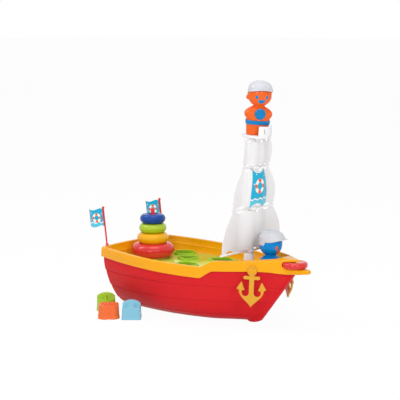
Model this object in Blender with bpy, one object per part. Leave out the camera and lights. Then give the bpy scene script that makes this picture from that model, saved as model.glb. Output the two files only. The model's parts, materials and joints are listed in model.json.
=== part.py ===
"""Toy sailing boat with a shape sorter deck, a ring stack, two sailors and loose blocks.

Frame: +X towards the bow, +Y to port, +Z up, metres. The origin is on the flat
underside of the hull, on the centre line, midway between the stern and the bow tip.
"""

import math

import bmesh
import bpy
from mathutils import Matrix, Vector

# Clearances
SEAT_GAP = 0.0003       # between pieces that rest on each other
RUN_GAP = 0.0004        # round a piece that turns or slides

# Plan of the boat
STERN_X = -0.301        # middle of the stern rim
RIM_BOW_X = 0.270       # tip of the upper rim
LIP_BOW_X = 0.301       # tip of the lower lip at the bow
HALF_BEAM = 0.155       # rim half-breadth at its widest
WIDEST_SHARE = 0.36     # where along the length it is widest
STERN_NARROWING = 0.19  # how much of the half-beam is lost at the stern
STERN_SAG = 0.012       # bow of the transom in plan
CORNER_R = 0.012
STEP_LOW_X = 0.059      # foot of the step in the rim
STEP_HIGH_X = 0.088     # head of the step

# Rim and yellow moulding
RIM_STERN_Z = 0.159
RIM_WAIST_Z = 0.149
RIM_FORE_Z = 0.166
RIM_TIP_Z = 0.176
SKIRT_STERN_H = 0.025
SKIRT_WAIST_H = 0.028
SKIRT_FORE_H = 0.0255
SKIRT_NOSE_Z = 0.144    # lower edge of the skirt at the bow tip
TUB_WALL = 0.003
RIM_ROUND = 0.003
RIM_WIDTH = 0.011
END_BOW = 0.0008        # forward bow of the walls that close an end across the boat
PLANKS = 3
PLANK_STEP = 0.0025
PLANK_LEAN = 0.0012
FLOOR_Z = 0.104
NOSE_X = 0.2165         # inner end of the closed nose at the rim
FLOOR_END_X = 0.197     # inner end of the floor
FLOOR_BOW_X = 0.218     # where the floor's sides would meet

# Hull
HULL_WALL = 0.0025
HULL_UNDER_RIM = 0.0095  # how far the hull's edge lies below the rim, inside the skirt
HULL_FORE_TOP_Z = 0.1470
HULL_BEAM = HALF_BEAM - 0.0045  # half-beam under the skirt
HULL_FLAT = 0.060       # half-breadth of the flat bottom at its widest
HULL_FULL_Z = 0.126     # height where the hull reaches its beam
TRANSOM_RAKE = 0.013
LAP = 0.0018            # how far each strake stands over the next one down
LAP_Z = (0.021, 0.058, 0.099)
ROCKER = 0.007          # rise of the bottom towards the bow
STEM_FOOT_X = 0.118
STEM_RUN = 0.137        # forward reach of the stem over its height
STEM_TOP_Z = 0.137
STEM_HALF = 0.0055
STEM_PROUD = 0.005
STEM_BAR_TOP_Z = 0.1440   # under the lip

# Bow disc
DISC_X = 0.254
DISC_R = 0.032
DISC_Z = 0.162
DISC_H = 0.0155
DISC_PIN_R = 0.004
LIP_H = 0.0085
LIP_ROOT_X = 0.2135      # where the lip grows out of the nose's inner wall
SLOT_CLEAR = 0.0008

# Sorter deck
DECK_FRONT_X = 0.022
DECK_BACK_X = -0.276
DECK_TOP_Z = 0.121
DECK_WALL = 0.003
DECK_MARGIN = 0.003     # to the foot of the tub's wall
HATCH_INSET = 0.0075     # from the deck's outline to the hatch in the floor
RIM_RAISE = 0.006
RIM_RING_W = 0.004
HOLE_CLEAR = 0.0012
STACK_X = -0.2225
STACK_SEAT_R = 0.040
STACK_SEAT_H = 0.0017

# Ring stack: name, outer diameter, tube radius
RINGS = (("ring_red", 0.112, 0.0190), ("ring_yellow", 0.084, 0.0150),
         ("ring_green", 0.073, 0.0125), ("ring_blue", 0.068, 0.0125))
SPINDLE_BASE_R = 0.0115
SPINDLE_TIP_R = 0.0052
SPINDLE_TIP_Z = 0.257

# Mast, measured along its own leaning axis from the floor
MAST_X = 0.1055
MAST_RAKE = math.radians(4.2)
MAST_R = 0.010
MAST_FOOT = 0.0014
SOCKET_R = 0.0145
SOCKET_H = 0.009
CLIP_WALL = 0.0028
CLIP_H = 0.008
YARD_R = 0.0028
YARD_AHEAD = 0.003
YARD_UP = (0.077, 0.1845, 0.2868, 0.3575)
YARD_HALF = (0.111, 0.0794, 0.0519, 0.0515)
SAIL_T = 0.0020
SAIL_EDGE_SWELL = (0.003, 0.003, 0.0055)   # how far the edges billow forward
SAIL_CHANNEL = 0.0125    # how far the middle panel stands forward to clear the mast
SAIL_BELLY = (0.004, 0.004, 0.002)         # further billow of the middle panel
SAIL_FLARE = (0.0145, 0.0145, 0.0060)      # how far the edges billow sideways
SAIL_TUCK = 0.004        # how far the sail's corner lies inside the yard's end
SAIL_RISE = 0.009        # height over a yard at which the middle panel stands clear
PANEL_HALF = (0.013, 0.034)                # the middle panel's flat, and the foot of its slopes
SAIL_TURN_GAP = 0.0012
CUT_IN = 0.030           # oval cut-out, from the yard's end
CUT_HALF = (0.0140, 0.0075)
CUT_MIDDLE = (0.0165, 0.0095)
NEST_UP = 0.3675
NEST_R = 0.036
NEST_T = 0.003
NEST_LIP = 0.003
NEST_HUB_H = 0.0025
NEST_RAIL_H = 0.024
NEST_RAIL_HALF = math.radians(50)

# Sailors
FIGURE_HEAD_Z = 0.097
BELT_Z = (0.0235, 0.0365)
BELT_PROUD = 0.0018
CHEST_Z = 0.0525
CHEST_R = 0.0133
TOP_SAILOR_TURN = math.radians(-38)
BOW_SAILOR_X = 0.1775

# Flags
FLAG_POLE_X = -0.2865
FLAG_POLE_Y = HALF_BEAM - 0.048
FLAG_POLE_L = 0.103
FLAG_POLE_R = 0.0022
FLAG_RAKE = math.radians(8)
FLAG_L = 0.054
FLAG_H = 0.041
FLAG_T = 0.0014

# Anchors
ANCHOR_X = 0.178
ANCHOR_Z = 0.147
ANCHOR_T = 0.0045
ANCHOR_RING_R = 0.0117
ANCHOR_HOLE_R = 0.0042
PEG_R = 0.0034
PEG_HEAD_R = 0.0062
PEG_SINK = 0.0020

# Blocks
BLOCK_HALF = 0.0245
BLOCK_H = 0.031
CLOVER_R = 0.0276
CLOVER_H = 0.035
CLOVER_LOBE = 0.12
BLOCK_ARCH = 0.017
BLOCK_TURN = math.radians(42)
BLOCK_PLACES = {"block_round": (-0.242, -0.1554), "block_clover": (-0.1773, -0.2087),
                "block_square": (-0.1299, -0.174)}

# Where each sorter hole lies and how it is turned
HOLES = (("round", -0.192, 0.092, 0.0), ("triangle", -0.134, 0.040, math.radians(-57)),
         ("clover", -0.074, -0.036, 0.0), ("square", -0.044, 0.076, math.radians(-32)))

STERN_COLS, AFT_COLS, FORE_COLS = 3, 8, 6


def material(name, rgb, roughness):
    """A moulded plastic in one colour."""
    made = bpy.data.materials.get(name)
    if made is None:
        made = bpy.data.materials.new(name)
        made.use_nodes = True
        shader = made.node_tree.nodes["Principled BSDF"]
        shader.inputs["Base Color"].default_value = (*rgb, 1.0)
        shader.inputs["Roughness"].default_value = roughness
        made.diffuse_color = (*rgb, 1.0)
    return made


def red():
    return material("red_plastic", (0.69, 0.025, 0.03), 0.3)


def yellow():
    return material("yellow_plastic", (0.92, 0.40, 0.01), 0.3)


def lime():
    return material("lime_plastic", (0.39, 0.60, 0.03), 0.25)


def white():
    return material("white_plastic", (0.82, 0.82, 0.84), 0.35)


def orange():
    return material("orange_plastic", (0.93, 0.14, 0.04), 0.3)


def blue():
    return material("blue_plastic", (0.0, 0.18, 0.55), 0.3)


def finish(name, bm, paint, place=Matrix.Identity(4), sharp=math.radians(40)):
    """Write a bmesh as a named object, faces out, and put it in place."""
    bmesh.ops.recalc_face_normals(bm, faces=bm.faces)
    mesh = bpy.data.meshes.new(name)
    bm.to_mesh(mesh)
    bm.free()
    mesh.materials.append(paint)
    mesh.shade_smooth()
    mesh.set_sharp_from_angle(angle=sharp)
    made = bpy.data.objects.new(name, mesh)
    bpy.context.scene.collection.objects.link(made)
    made.matrix_world = place
    return made


def combine(body, operation, tool, place=None):
    """Cut or join one bmesh tool on an object, and keep the tool as a hidden guide."""
    guide = finish(f"{body.name}_{operation.lower()}_{len(body.modifiers)}", tool,
                   body.data.materials[0], place or body.matrix_world)
    guide.hide_render = True
    guide.display_type = "WIRE"
    step = body.modifiers.new(guide.name, "BOOLEAN")
    step.operation = operation
    step.object = guide
    step.solver = "EXACT"


def skin(rings, bm=None, caps=(True, True)):
    """Close a stack of equal rings of points into one solid."""
    bm = bm or bmesh.new()
    rows = [[bm.verts.new(p) for p in ring] for ring in rings]
    for low, high in zip(rows, rows[1:]):
        for k in range(len(low)):
            n = (k + 1) % len(low)
            bm.faces.new((low[k], low[n], high[n], high[k]))
    if caps[0]:
        bm.faces.new(rows[0][::-1])
    if caps[1]:
        bm.faces.new(rows[-1])
    return bm


def turned(profile, steps, bm=None):
    """Revolve (radius, height) points about Z. Points at radius 0 close the ends."""
    bm = bm or bmesh.new()
    rows = []
    for r, z in profile:
        if r == 0:
            rows.append([bm.verts.new((0, 0, z))])
        else:
            rows.append([bm.verts.new((r * math.cos(a), r * math.sin(a), z))
                         for a in (2 * math.pi * k / steps for k in range(steps))])
    closed = profile[0][0] != 0
    pairs = list(zip(rows, rows[1:] + rows[:1])) if closed else list(zip(rows, rows[1:]))
    for low, high in pairs:
        for k in range(steps):
            n = (k + 1) % steps
            quad = [low[k % len(low)], low[n % len(low)], high[n % len(high)], high[k % len(high)]]
            bm.faces.new(list(dict.fromkeys(quad)))
    return bm


def prism(outline, low, high, bm=None):
    """Extrude a plan outline from one height to another."""
    rings = [[(x, y, z) for x, y in outline] for z in (low, high)]
    return skin(rings, bm)


def arc(cx, cy, r, start, end, steps):
    """Points round a centre from one angle to another, both ends included."""
    turns = [start + (end - start) * k / steps for k in range(steps + 1)]
    return [(cx + r * math.cos(a), cy + r * math.sin(a)) for a in turns]


def rod(start, end, radius, steps, bm=None):
    """A round bar with softly chamfered ends between two points."""
    bm = bm or bmesh.new()
    start, end = Vector(start), Vector(end)
    turn = (end - start).to_track_quat("Z", "Y").to_matrix()
    length, soft = (end - start).length, radius * 0.35
    rings = []
    for r, z in ((radius - soft, 0), (radius, soft), (radius, length - soft), (radius - soft, length)):
        rings.append([start + turn @ Vector((r * math.cos(a), r * math.sin(a), z))
                      for a in (2 * math.pi * k / steps for k in range(steps))])
    return skin(rings, bm)


def smooth(x, low, high):
    """0 below low, 1 above high, an even ease between."""
    t = min(max((x - low) / (high - low), 0.0), 1.0)
    return t * t * (3 - 2 * t)


# Plan shape: the half-breadth narrows a little to the stern and as a parabola to the bow
def fullness(t):
    if t < WIDEST_SHARE:
        return 1 - STERN_NARROWING * ((WIDEST_SHARE - t) / WIDEST_SHARE) ** 1.9
    return max(1 - ((t - WIDEST_SHARE) / (1 - WIDEST_SHARE)) ** 2, 0.0)


def stations(first_x, last_x):
    """Lengthwise places of the side columns, with a column at each end of the rim's step."""
    aft = [first_x + (STEP_LOW_X - first_x) * k / AFT_COLS for k in range(AFT_COLS + 1)]
    eased = [1 - (1 - k / FORE_COLS) ** 1.4 for k in range(FORE_COLS + 1)]
    return aft + [STEP_HIGH_X + (last_x - STEP_HIGH_X) * s for s in eased]


def half_plan(stern_x, bow_x, beam, last_x, tip_x, shares=None):
    """Starboard half of a plan outline, from the middle of the stern to the middle of the bow."""
    def breadth(x):
        return beam * fullness((x - stern_x) / (bow_x - stern_x))
    first_x = stern_x + STERN_SAG + CORNER_R
    straight = breadth(first_x) - CORNER_R
    points = []
    for k in range(STERN_COLS + 1):
        y = straight * k / STERN_COLS
        points.append((stern_x + STERN_SAG * (k / STERN_COLS) ** 2, -y))
    for turn in (math.radians(30), math.radians(60)):
        points.append((first_x - CORNER_R * math.cos(turn), -straight - CORNER_R * math.sin(turn)))
    if shares is None:
        sides = stations(first_x, last_x)
    else:
        sides = [first_x + (last_x - first_x) * s for s in shares]
    points += [(x, -breadth(x)) for x in sides]
    return points + [(tip_x, 0.0)]


def both_sides(half):
    """Closed loop from a starboard half whose ends lie on the centre line."""
    return half + [(x, -y, *rest) for x, y, *rest in half[-2:0:-1]]


def span(bm, row):
    """Close a symmetric loop with bands across the boat."""
    count = len(row) // 2
    for k in range(count):
        port = [row[-j % len(row)] for j in (k + 1, k)]
        corners = [row[k], row[k + 1], port[0], port[1]]
        bm.faces.new(list(dict.fromkeys(corners)))


def symmetric_shell(rings):
    """A solid from symmetric loops, whose first and last loop are closed across the boat."""
    bm = skin(rings, caps=(False, False))
    bm.verts.ensure_lookup_table()
    size = len(rings[0])
    span(bm, bm.verts[:size])
    span(bm, bm.verts[len(bm.verts) - size:])
    return bm


def rim_height(x):
    """Height of the rim: a sheer that sinks to the waist, the step, and the rising fore part."""
    if x <= STEP_LOW_X:
        share = (STEP_LOW_X - x) / (STEP_LOW_X - STERN_X)
        return RIM_WAIST_Z + (RIM_STERN_Z - RIM_WAIST_Z) * share
    if x < STEP_HIGH_X:
        share = (x - STEP_LOW_X) / (STEP_HIGH_X - STEP_LOW_X)
        return RIM_WAIST_Z + (RIM_FORE_Z - RIM_WAIST_Z) * share
    share = min((x - STEP_HIGH_X) / (RIM_BOW_X - STEP_HIGH_X), 1.0)
    return RIM_FORE_Z + (RIM_TIP_Z - RIM_FORE_Z) * share ** 1.2


def skirt_height(x):
    """How far the outer skirt hangs below the rim."""
    if x <= STEP_LOW_X:
        share = (STEP_LOW_X - x) / (STEP_LOW_X - STERN_X)
        return SKIRT_WAIST_H + (SKIRT_STERN_H - SKIRT_WAIST_H) * share
    fore = SKIRT_WAIST_H + (SKIRT_FORE_H - SKIRT_WAIST_H) * min((x - STEP_LOW_X) / 0.02, 1.0)
    nose = smooth(x, 0.16, RIM_BOW_X)
    return fore * (1 - nose) + (RIM_TIP_Z - SKIRT_NOSE_Z) * nose


RIM_XS = [x for x, _ in half_plan(STERN_X, RIM_BOW_X, HALF_BEAM, RIM_BOW_X - 0.008, RIM_BOW_X)]


def tub_ring(inset, lift, from_rim=0.0, lean=0.0, foot=None):
    """One loop of the yellow moulding.

    The loop lies inset from the rim's outline. Its height is lift(x), and foot, from 0 at
    the rim to 1 at the floor, draws its bow end in from the nose to the narrow floor.
    """
    if foot is None:
        bow, last, tip = RIM_BOW_X - 1.55 * inset, RIM_BOW_X - 0.008 - 1.3 * inset, RIM_BOW_X - 1.55 * inset
    else:
        bow = (RIM_BOW_X - 1.55 * RIM_WIDTH) * (1 - foot) + FLOOR_BOW_X * foot
        last = NOSE_X * (1 - foot) + FLOOR_END_X * foot + lean
        tip = last + END_BOW
    half = half_plan(STERN_X + inset, bow, HALF_BEAM - inset, last, tip)
    return both_sides([(x, y, lift(nominal) + from_rim) for (x, y), nominal in zip(half, RIM_XS)])


def wall_between(share):
    """Heights a share of the way down the inner wall, from the rim to the floor."""
    return lambda x: rim_height(x) * (1 - share) + FLOOR_Z * share


def plank_rings():
    """The stepped inner wall: each plank leans in a little and ends in a narrow ledge."""
    rings = []
    inset = RIM_WIDTH
    for plank in range(PLANKS):
        top, bottom = plank / PLANKS, (plank + 1) / PLANKS
        rings.append(tub_ring(inset, wall_between(top), foot=top))
        inset += PLANK_LEAN
        rings.append(tub_ring(inset, wall_between(bottom), foot=bottom))
        inset += PLANK_STEP
    return rings


def gunwale_tub():
    def skirt_edge(x):
        return rim_height(x) - skirt_height(x)
    floor_inset = RIM_WIDTH + PLANKS * PLANK_LEAN + (PLANKS - 1) * PLANK_STEP
    under = -TUB_WALL
    flare = 0.0012
    rings = [
        tub_ring(floor_inset - TUB_WALL, lambda x: FLOOR_Z, under, TUB_WALL, 1.0),
        tub_ring(RIM_WIDTH - TUB_WALL, rim_height, under, TUB_WALL, 0.0),
        tub_ring(TUB_WALL, rim_height, under),
        tub_ring(TUB_WALL - flare, skirt_edge),
        tub_ring(-flare, skirt_edge),
        tub_ring(0.0, rim_height, -RIM_ROUND),
        tub_ring(RIM_ROUND * 0.3, rim_height, -RIM_ROUND * 0.3),
        tub_ring(RIM_ROUND, rim_height),
        tub_ring(RIM_WIDTH - 0.002, rim_height, 0.0, 0.0, 0.0),
    ]
    planks = plank_rings()
    planks[0] = tub_ring(RIM_WIDTH, rim_height, -0.0012, 0.0, 0.0)
    tub = finish("gunwale_tub", symmetric_shell(rings + planks), yellow(), sharp=math.radians(25))
    combine(tub, "UNION", bow_lip())
    combine(tub, "UNION", mast_socket(), mast_frame())
    combine(tub, "DIFFERENCE", hatch_cutter())
    combine(tub, "DIFFERENCE", peg_and_slot_cutters())
    return tub


def bow_lip():
    """The lower lip: the band carried forward to the tip as a flat beak under the disc."""
    slot_low = DISC_Z - DISC_H / 2 - SLOT_CLEAR
    start = LIP_ROOT_X
    side = []
    for k in range(9):
        x = start + (LIP_BOW_X - 0.006 - start) * k / 8
        share = (x - STERN_X) / (RIM_BOW_X - STERN_X)
        rim_y = HALF_BEAM * fullness(min(share, 1.0))
        beak_y = 0.008 + 0.030 * ((LIP_BOW_X - x) / (LIP_BOW_X - start)) ** 1.15
        side.append((x, -max(beak_y, rim_y - 0.001 if x < 0.24 else 0.0)))
    half = [(start, 0.0)] + side + [(LIP_BOW_X - 0.002, -0.0055), (LIP_BOW_X, 0.0)]
    outline = both_sides(half)
    soft = 0.001
    centre = Vector((0.25, 0.0))
    rings = []
    for z, inward in ((slot_low - LIP_H, soft), (slot_low - LIP_H + soft, 0.0),
                      (slot_low - soft, 0.0), (slot_low, soft)):
        ring = []
        for x, y in outline:
            away = Vector((x, y)) - centre
            ring.append((*(centre + away * (1 - inward / max(away.length, 0.01))), z))
        rings.append(ring)
    return skin(rings)


def mast_frame():
    """The mast's own frame: Z along its leaning axis, from the floor up."""
    return Matrix.Translation((MAST_X, 0, FLOOR_Z)) @ Matrix.Rotation(MAST_RAKE, 4, "Y")


def mast_socket():
    bore = MAST_R + SEAT_GAP
    return turned([(bore, -0.0015), (SOCKET_R, -0.0015), (SOCKET_R, SOCKET_H - 0.001),
                   (SOCKET_R - 0.001, SOCKET_H), (bore, SOCKET_H)], 24)


def rounded_box(x0, x1, y0, y1, r, steps=4):
    quarter = math.pi / 2
    return (arc(x1 - r, y1 - r, r, 0, quarter, steps) + arc(x0 + r, y1 - r, r, quarter, 2 * quarter, steps)
            + arc(x0 + r, y0 + r, r, 2 * quarter, 3 * quarter, steps)
            + arc(x1 - r, y0 + r, r, 3 * quarter, 4 * quarter, steps))


def hatch_cutter():
    """The opening in the floor under the sorter deck, where the blocks drop into the hold."""
    return prism(deck_outline(HATCH_INSET), FLOOR_Z - 0.01, FLOOR_Z + 0.01)


def anchor_frame(side):
    """Frame of an anchor: X out of the hull's side, Y along it, Z up, at the peg."""
    def rim_y(x):
        return HALF_BEAM * fullness((x - STERN_X) / (RIM_BOW_X - STERN_X))
    step = 0.001
    slope = (rim_y(ANCHOR_X + step) - rim_y(ANCHOR_X - step)) / (2 * step)
    out = Vector((-slope, side, 0)).normalized()
    along = Vector((0, 0, 1)).cross(out)
    skirt_flare = 0.0012
    place = Vector((ANCHOR_X, side * rim_y(ANCHOR_X), ANCHOR_Z)) + out * (skirt_flare + SEAT_GAP)
    frame = Matrix((out, along, Vector((0, 0, 1)))).transposed().to_4x4()
    frame.translation = place
    return frame


def along_x(bm):
    """Turn a shape made along Z so that it lies along X."""
    bm.transform(Matrix.Rotation(math.pi / 2, 4, "Y"))
    return bm


def peg_and_slot_cutters():
    """The recesses of both anchor pegs and the bow disc's slot, as one cutter."""
    bm = bmesh.new()
    low, high = DISC_Z - DISC_H / 2 - SLOT_CLEAR, DISC_Z + DISC_H / 2 + SLOT_CLEAR
    slot = bmesh.new()
    turned([(0, low), (DISC_R + 0.0015, low), (DISC_R + 0.0015, high), (0, high)], 48, slot)
    slot.transform(Matrix.Translation((DISC_X, 0, 0)))
    shapes = [slot]
    for side in (-1, 1):
        shapes.append(peg_bore(side))
    for shape in shapes:
        mesh = bpy.data.meshes.new("cutter_part")
        shape.to_mesh(mesh)
        shape.free()
        bm.from_mesh(mesh)
        bpy.data.meshes.remove(mesh)
    return bm


def peg_bore(side):
    bore = along_x(turned([(0, -PEG_SINK - SEAT_GAP), (PEG_R + SEAT_GAP, -PEG_SINK - SEAT_GAP),
                           (PEG_R + SEAT_GAP, 0.004), (0, 0.004)], 16))
    bore.transform(anchor_frame(side))
    return bore


def stem_x(z):
    """Forward edge of the stem at a height, curving forward from the forefoot."""
    return STEM_FOOT_X + STEM_RUN * (min(max(z, 0.0), 0.1455) / STEM_TOP_Z) ** 0.62


def hull_beam(z):
    """Half-beam of the hull at a height: a flat bottom and a round bilge."""
    bilge = (1 - (1 - min(z / HULL_FULL_Z, 1.0)) ** 1.5) ** 0.55
    return HULL_FLAT + (HULL_BEAM - HULL_FLAT) * bilge


def hull_top(x):
    """Upper edge of the hull, hidden under the skirt and low enough to clear the nose."""
    under = min(rim_height(x) - HULL_UNDER_RIM, HULL_FORE_TOP_Z)
    nose = smooth(x, 0.165, 0.200)
    return under * (1 - nose) + (DISC_Z - DISC_H / 2 - SLOT_CLEAR - LIP_H - SEAT_GAP) * nose


def hull_ring(z, proud=0.0, inward=0.0, top_share=None):
    """One loop of the hull. Above the top lap, top_share carries the row up to the edge."""
    stern = STERN_X + 0.0050 + TRANSOM_RAKE * (1 - z / HULL_FULL_Z) + inward
    bow = stem_x(z) - STEM_PROUD - inward * 2.2
    beam = hull_beam(z) + proud - inward
    last = bow - 0.004 - inward
    half = half_plan(stern, bow, beam, last, bow, HULL_SHARES)
    points = []
    for (x, y), nominal in zip(half, RIM_XS):
        height = z
        if top_share is not None:
            height = LAP_Z[-1] + (hull_top(nominal) - LAP_Z[-1]) * top_share
        rocker = ROCKER * smooth(x, 0.02, 0.10) * max(1 - z / 0.04, 0.0)
        points.append((x, y, height + rocker))
    return both_sides(points)


def hull_shares():
    """Shares of the length that put hull columns at the rim's step."""
    first = STERN_X + 0.0050 + STERN_SAG + CORNER_R
    last = stem_x(0.15) - STEM_PROUD - 0.004
    return [(x - first) / (last - first) for x in stations(first, last)]


HULL_SHARES = hull_shares()


def hull():
    laps = [0.0, *LAP_Z]
    outer = []
    for low, high in zip(laps, laps[1:]):
        if low == 0:
            outer += [hull_ring(0.0), hull_ring(0.004), hull_ring(0.011)]
        else:
            outer += [hull_ring(low + 0.0005, LAP), hull_ring((low + high) / 2, LAP * 0.6)]
        outer.append(hull_ring(high - 0.0005, 0.0))
    top = 0.130
    outer += [hull_ring(LAP_Z[-1] + 0.0005, LAP), hull_ring(0.122, LAP * 0.3, 0.0, 0.45),
              hull_ring(top, 0.0, 0.0, 0.75), hull_ring(0.145, -0.0005, 0.0, 1.0)]
    wall = HULL_WALL
    inner = [hull_ring(0.145, 0.0, wall, 1.0), hull_ring(0.122, 0.0, wall, 0.45)]
    inner += [hull_ring(z, 0.0, wall + 0.0005) for z in (0.099, 0.060, 0.030, 0.012, wall)]
    body = finish("hull", symmetric_shell(outer + inner), red(), sharp=math.radians(30))
    combine(body, "UNION", stem_bar())
    return body


def stem_bar():
    """The stem post: a bar along the bow's edge that ends in the round forefoot."""
    heights = [STEM_BAR_TOP_Z, 0.125, 0.10, 0.075, 0.052, 0.034, 0.020, 0.010, 0.004]
    outer = [(stem_x(z), min(z, STEM_BAR_TOP_Z)) for z in heights]
    foot = arc(STEM_FOOT_X - 0.002, 0.0115, 0.0115, math.radians(-40), math.radians(-150), 5)
    inner = [(stem_x(z) - 0.016, z + 0.004) for z in (0.020, 0.052, 0.10)]
    inner.append((stem_x(STEM_BAR_TOP_Z) - 0.012, STEM_BAR_TOP_Z))
    outline = outer + foot + inner
    soft = 0.002
    rings = []
    for y, shrink in ((-STEM_HALF, soft), (-STEM_HALF + soft, 0.0), (STEM_HALF - soft, 0.0),
                      (STEM_HALF, soft)):
        middle = Vector((stem_x(0.07) - 0.004, 0.07))
        ring = []
        for k, (x, z) in enumerate(outline):
            drop = shrink if k < len(outer) + len(foot) else 0.0
            toward = (middle - Vector((x, z)))
            toward = Vector((-1.0, 0.25 if z > 0.012 else 0.9)).normalized() if drop else toward
            px, pz = x + toward[0] * drop, z + toward[1] * drop
            ring.append((px, y, min(pz, STEM_BAR_TOP_Z)))
        rings.append(ring)
    return skin(rings)


# Sorter shapes, as plan outlines about their own middle
def shape_outline(kind, grow):
    if kind == "round":
        return arc(0, 0, BLOCK_HALF + grow, 0, 2 * math.pi * 23 / 24, 23)
    if kind == "square":
        half = BLOCK_HALF - 0.0005 + grow
        return rounded_box(-half, half, -half, half, 0.004 + grow * 0.8)
    if kind == "triangle":
        inner, r = 0.0145, 0.006 + grow
        points = []
        for corner in range(3):
            a = 2 * math.pi * corner / 3
            points += arc(inner * 1.35 * math.cos(a), inner * 1.35 * math.sin(a), r,
                          a - math.pi / 3, a + math.pi / 3, 5)
        return points
    points = []
    for k in range(24):
        a = 2 * math.pi * k / 24
        r = CLOVER_R * (1.0 - CLOVER_LOBE * math.cos(4 * a)) + grow
        points.append((r * math.cos(a), r * math.sin(a)))
    return points


def placed(outline, x, y, turn):
    c, s = math.cos(turn), math.sin(turn)
    return [(x + c * px - s * py, y + s * px + c * py) for px, py in outline]


def deck_outline(inset):
    """Plan of the sorter deck: it follows the foot of the tub's wall and is cut square in front."""
    floor_inset = RIM_WIDTH + PLANKS * PLANK_LEAN + (PLANKS - 1) * PLANK_STEP + DECK_MARGIN + inset
    front, r = DECK_FRONT_X - inset, 0.014
    def breadth(x):
        share = (x - STERN_X - floor_inset) / (FLOOR_BOW_X - STERN_X - floor_inset)
        return (HALF_BEAM - floor_inset) * fullness(share)
    back = DECK_BACK_X + inset
    first = back + STERN_SAG + r
    straight = breadth(first) - r
    half = [(back + STERN_SAG * (k / STERN_COLS) ** 2, -straight * k / STERN_COLS) for k in range(STERN_COLS + 1)]
    half += arc(first, -straight, r, math.pi, 1.5 * math.pi, 4)[1:-1]
    count = 8
    half += [(x, -breadth(x)) for x in (first + (front - r - first) * k / count for k in range(count + 1))]
    half += arc(front - r, -(breadth(front - r) - r), r, 1.5 * math.pi, 2 * math.pi, 4)[1:]
    return both_sides(half + [(front + END_BOW, 0.0)])


def sorter_deck():
    foot = FLOOR_Z + SEAT_GAP
    soft = 0.0015
    rings = [(deck_outline(DECK_WALL), DECK_TOP_Z - DECK_WALL), (deck_outline(DECK_WALL), foot),
             (deck_outline(0.0), foot), (deck_outline(0.0), DECK_TOP_Z - soft),
             (deck_outline(soft), DECK_TOP_Z)]
    deck = finish("sorter_deck", symmetric_shell([[(x, y, z) for x, y in ring] for ring, z in rings]),
                  lime())
    raised = bmesh.new()
    holes = bmesh.new()
    for kind, x, y, turn in HOLES:
        base, top = DECK_TOP_Z - 0.001, DECK_TOP_Z + RIM_RAISE
        for_rim = [(RIM_RING_W + HOLE_CLEAR, base), (RIM_RING_W + HOLE_CLEAR, top - 0.001),
                   (RIM_RING_W + HOLE_CLEAR - 0.001, top)]
        skin([[(*p, z) for p in placed(shape_outline(kind, grow), x, y, turn)] for grow, z in for_rim], raised)
        prism(placed(shape_outline(kind, HOLE_CLEAR), x, y, turn), DECK_TOP_Z - 0.01, top + 0.005, holes)
    seat = arc(STACK_X, 0, STACK_SEAT_R, 0, 2 * math.pi * 27 / 28, 27)
    prism(seat, DECK_TOP_Z - 0.001, DECK_TOP_Z + STACK_SEAT_H, raised)
    combine(deck, "UNION", raised)
    combine(deck, "DIFFERENCE", holes)
    return deck


def ring_stack():
    base = DECK_TOP_Z + STACK_SEAT_H + SEAT_GAP
    flange = 0.0125
    height = SPINDLE_TIP_Z - base
    profile = [(0, 0), (flange, 0), (flange, 0.003), (SPINDLE_BASE_R, 0.006)]
    profile += [(SPINDLE_TIP_R, height - 0.0075), (SPINDLE_TIP_R * 0.85, height - 0.003),
                (SPINDLE_TIP_R * 0.45, height - 0.0006), (0, height)]
    finish("ring_spindle", turned(profile, 20), red(), Matrix.Translation((STACK_X, 0, base)))
    paints = (red(), yellow(), lime(), material("deep_blue_plastic", (0.01, 0.07, 0.40), 0.3))
    height, below = base + RINGS[0][2], None
    for (name, outer, tube), paint in zip(RINGS, paints):
        section = arc(outer / 2 - tube, 0, tube, -math.pi / 2, -math.pi / 2 + 2 * math.pi * 11 / 12, 11)
        if below:
            height += rest_height(below, section) + SEAT_GAP
        finish(name, turned(section, 24), paint, Matrix.Translation((STACK_X, 0, height)))
        below = section


def side_at(section, r, sign):
    """Upper (sign 1) or lower (-1) side of a ring's section at a radius."""
    found = [z0 + (z1 - z0) * (r - r0) / (r1 - r0)
             for (r0, z0), (r1, z1) in zip(section, section[1:] + section[:1])
             if r0 != r1 and min(r0, r1) - 1e-9 <= r <= max(r0, r1) + 1e-9]
    return max(found, key=lambda z: sign * z) if found else None


def rest_height(lower, upper):
    """How far above one ring's middle the next one's middle lies when it rests on it."""
    heights = []
    for r, _ in lower + upper:
        top, bottom = side_at(lower, r, 1), side_at(upper, r, -1)
        if top is not None and bottom is not None:
            heights.append(top - bottom)
    return max(heights)


def mast():
    length = NEST_UP - NEST_T - SEAT_GAP
    profile = [(0, MAST_FOOT), (MAST_R, MAST_FOOT), (MAST_R, length - 0.001), (MAST_R - 0.001, length),
               (0, length)]
    finish("mast", turned(profile, 24), white(), mast_frame())


def sail_rows(level):
    """Heights of a sail's rows over its yard: close together at the yards, wider apart between."""
    tall = YARD_UP[level + 1] - YARD_UP[level]
    seated = [-YARD_R * 0.25, SAIL_RISE * 0.5, SAIL_RISE]
    free = tall - 2 * SAIL_RISE
    middle = [SAIL_RISE + free * k / 4 for k in (1, 2, 3)]
    edge = YARD_R + SAIL_TURN_GAP if level < 2 else -YARD_R * 0.25
    return tall, seated + middle + [tall - SAIL_RISE, tall - (SAIL_RISE + edge) / 2, tall - edge]


def sail_columns(half):
    """Places across a sail: its edges, the slopes and the flat of the middle panel."""
    flat, foot = PANEL_HALF
    foot = min(foot, half * 0.62)
    side = [-half, -(half + foot) / 2, -foot, -(foot + flat) / 2, -flat]
    return side + [0.0] + [-y for y in side[::-1]]


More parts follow.
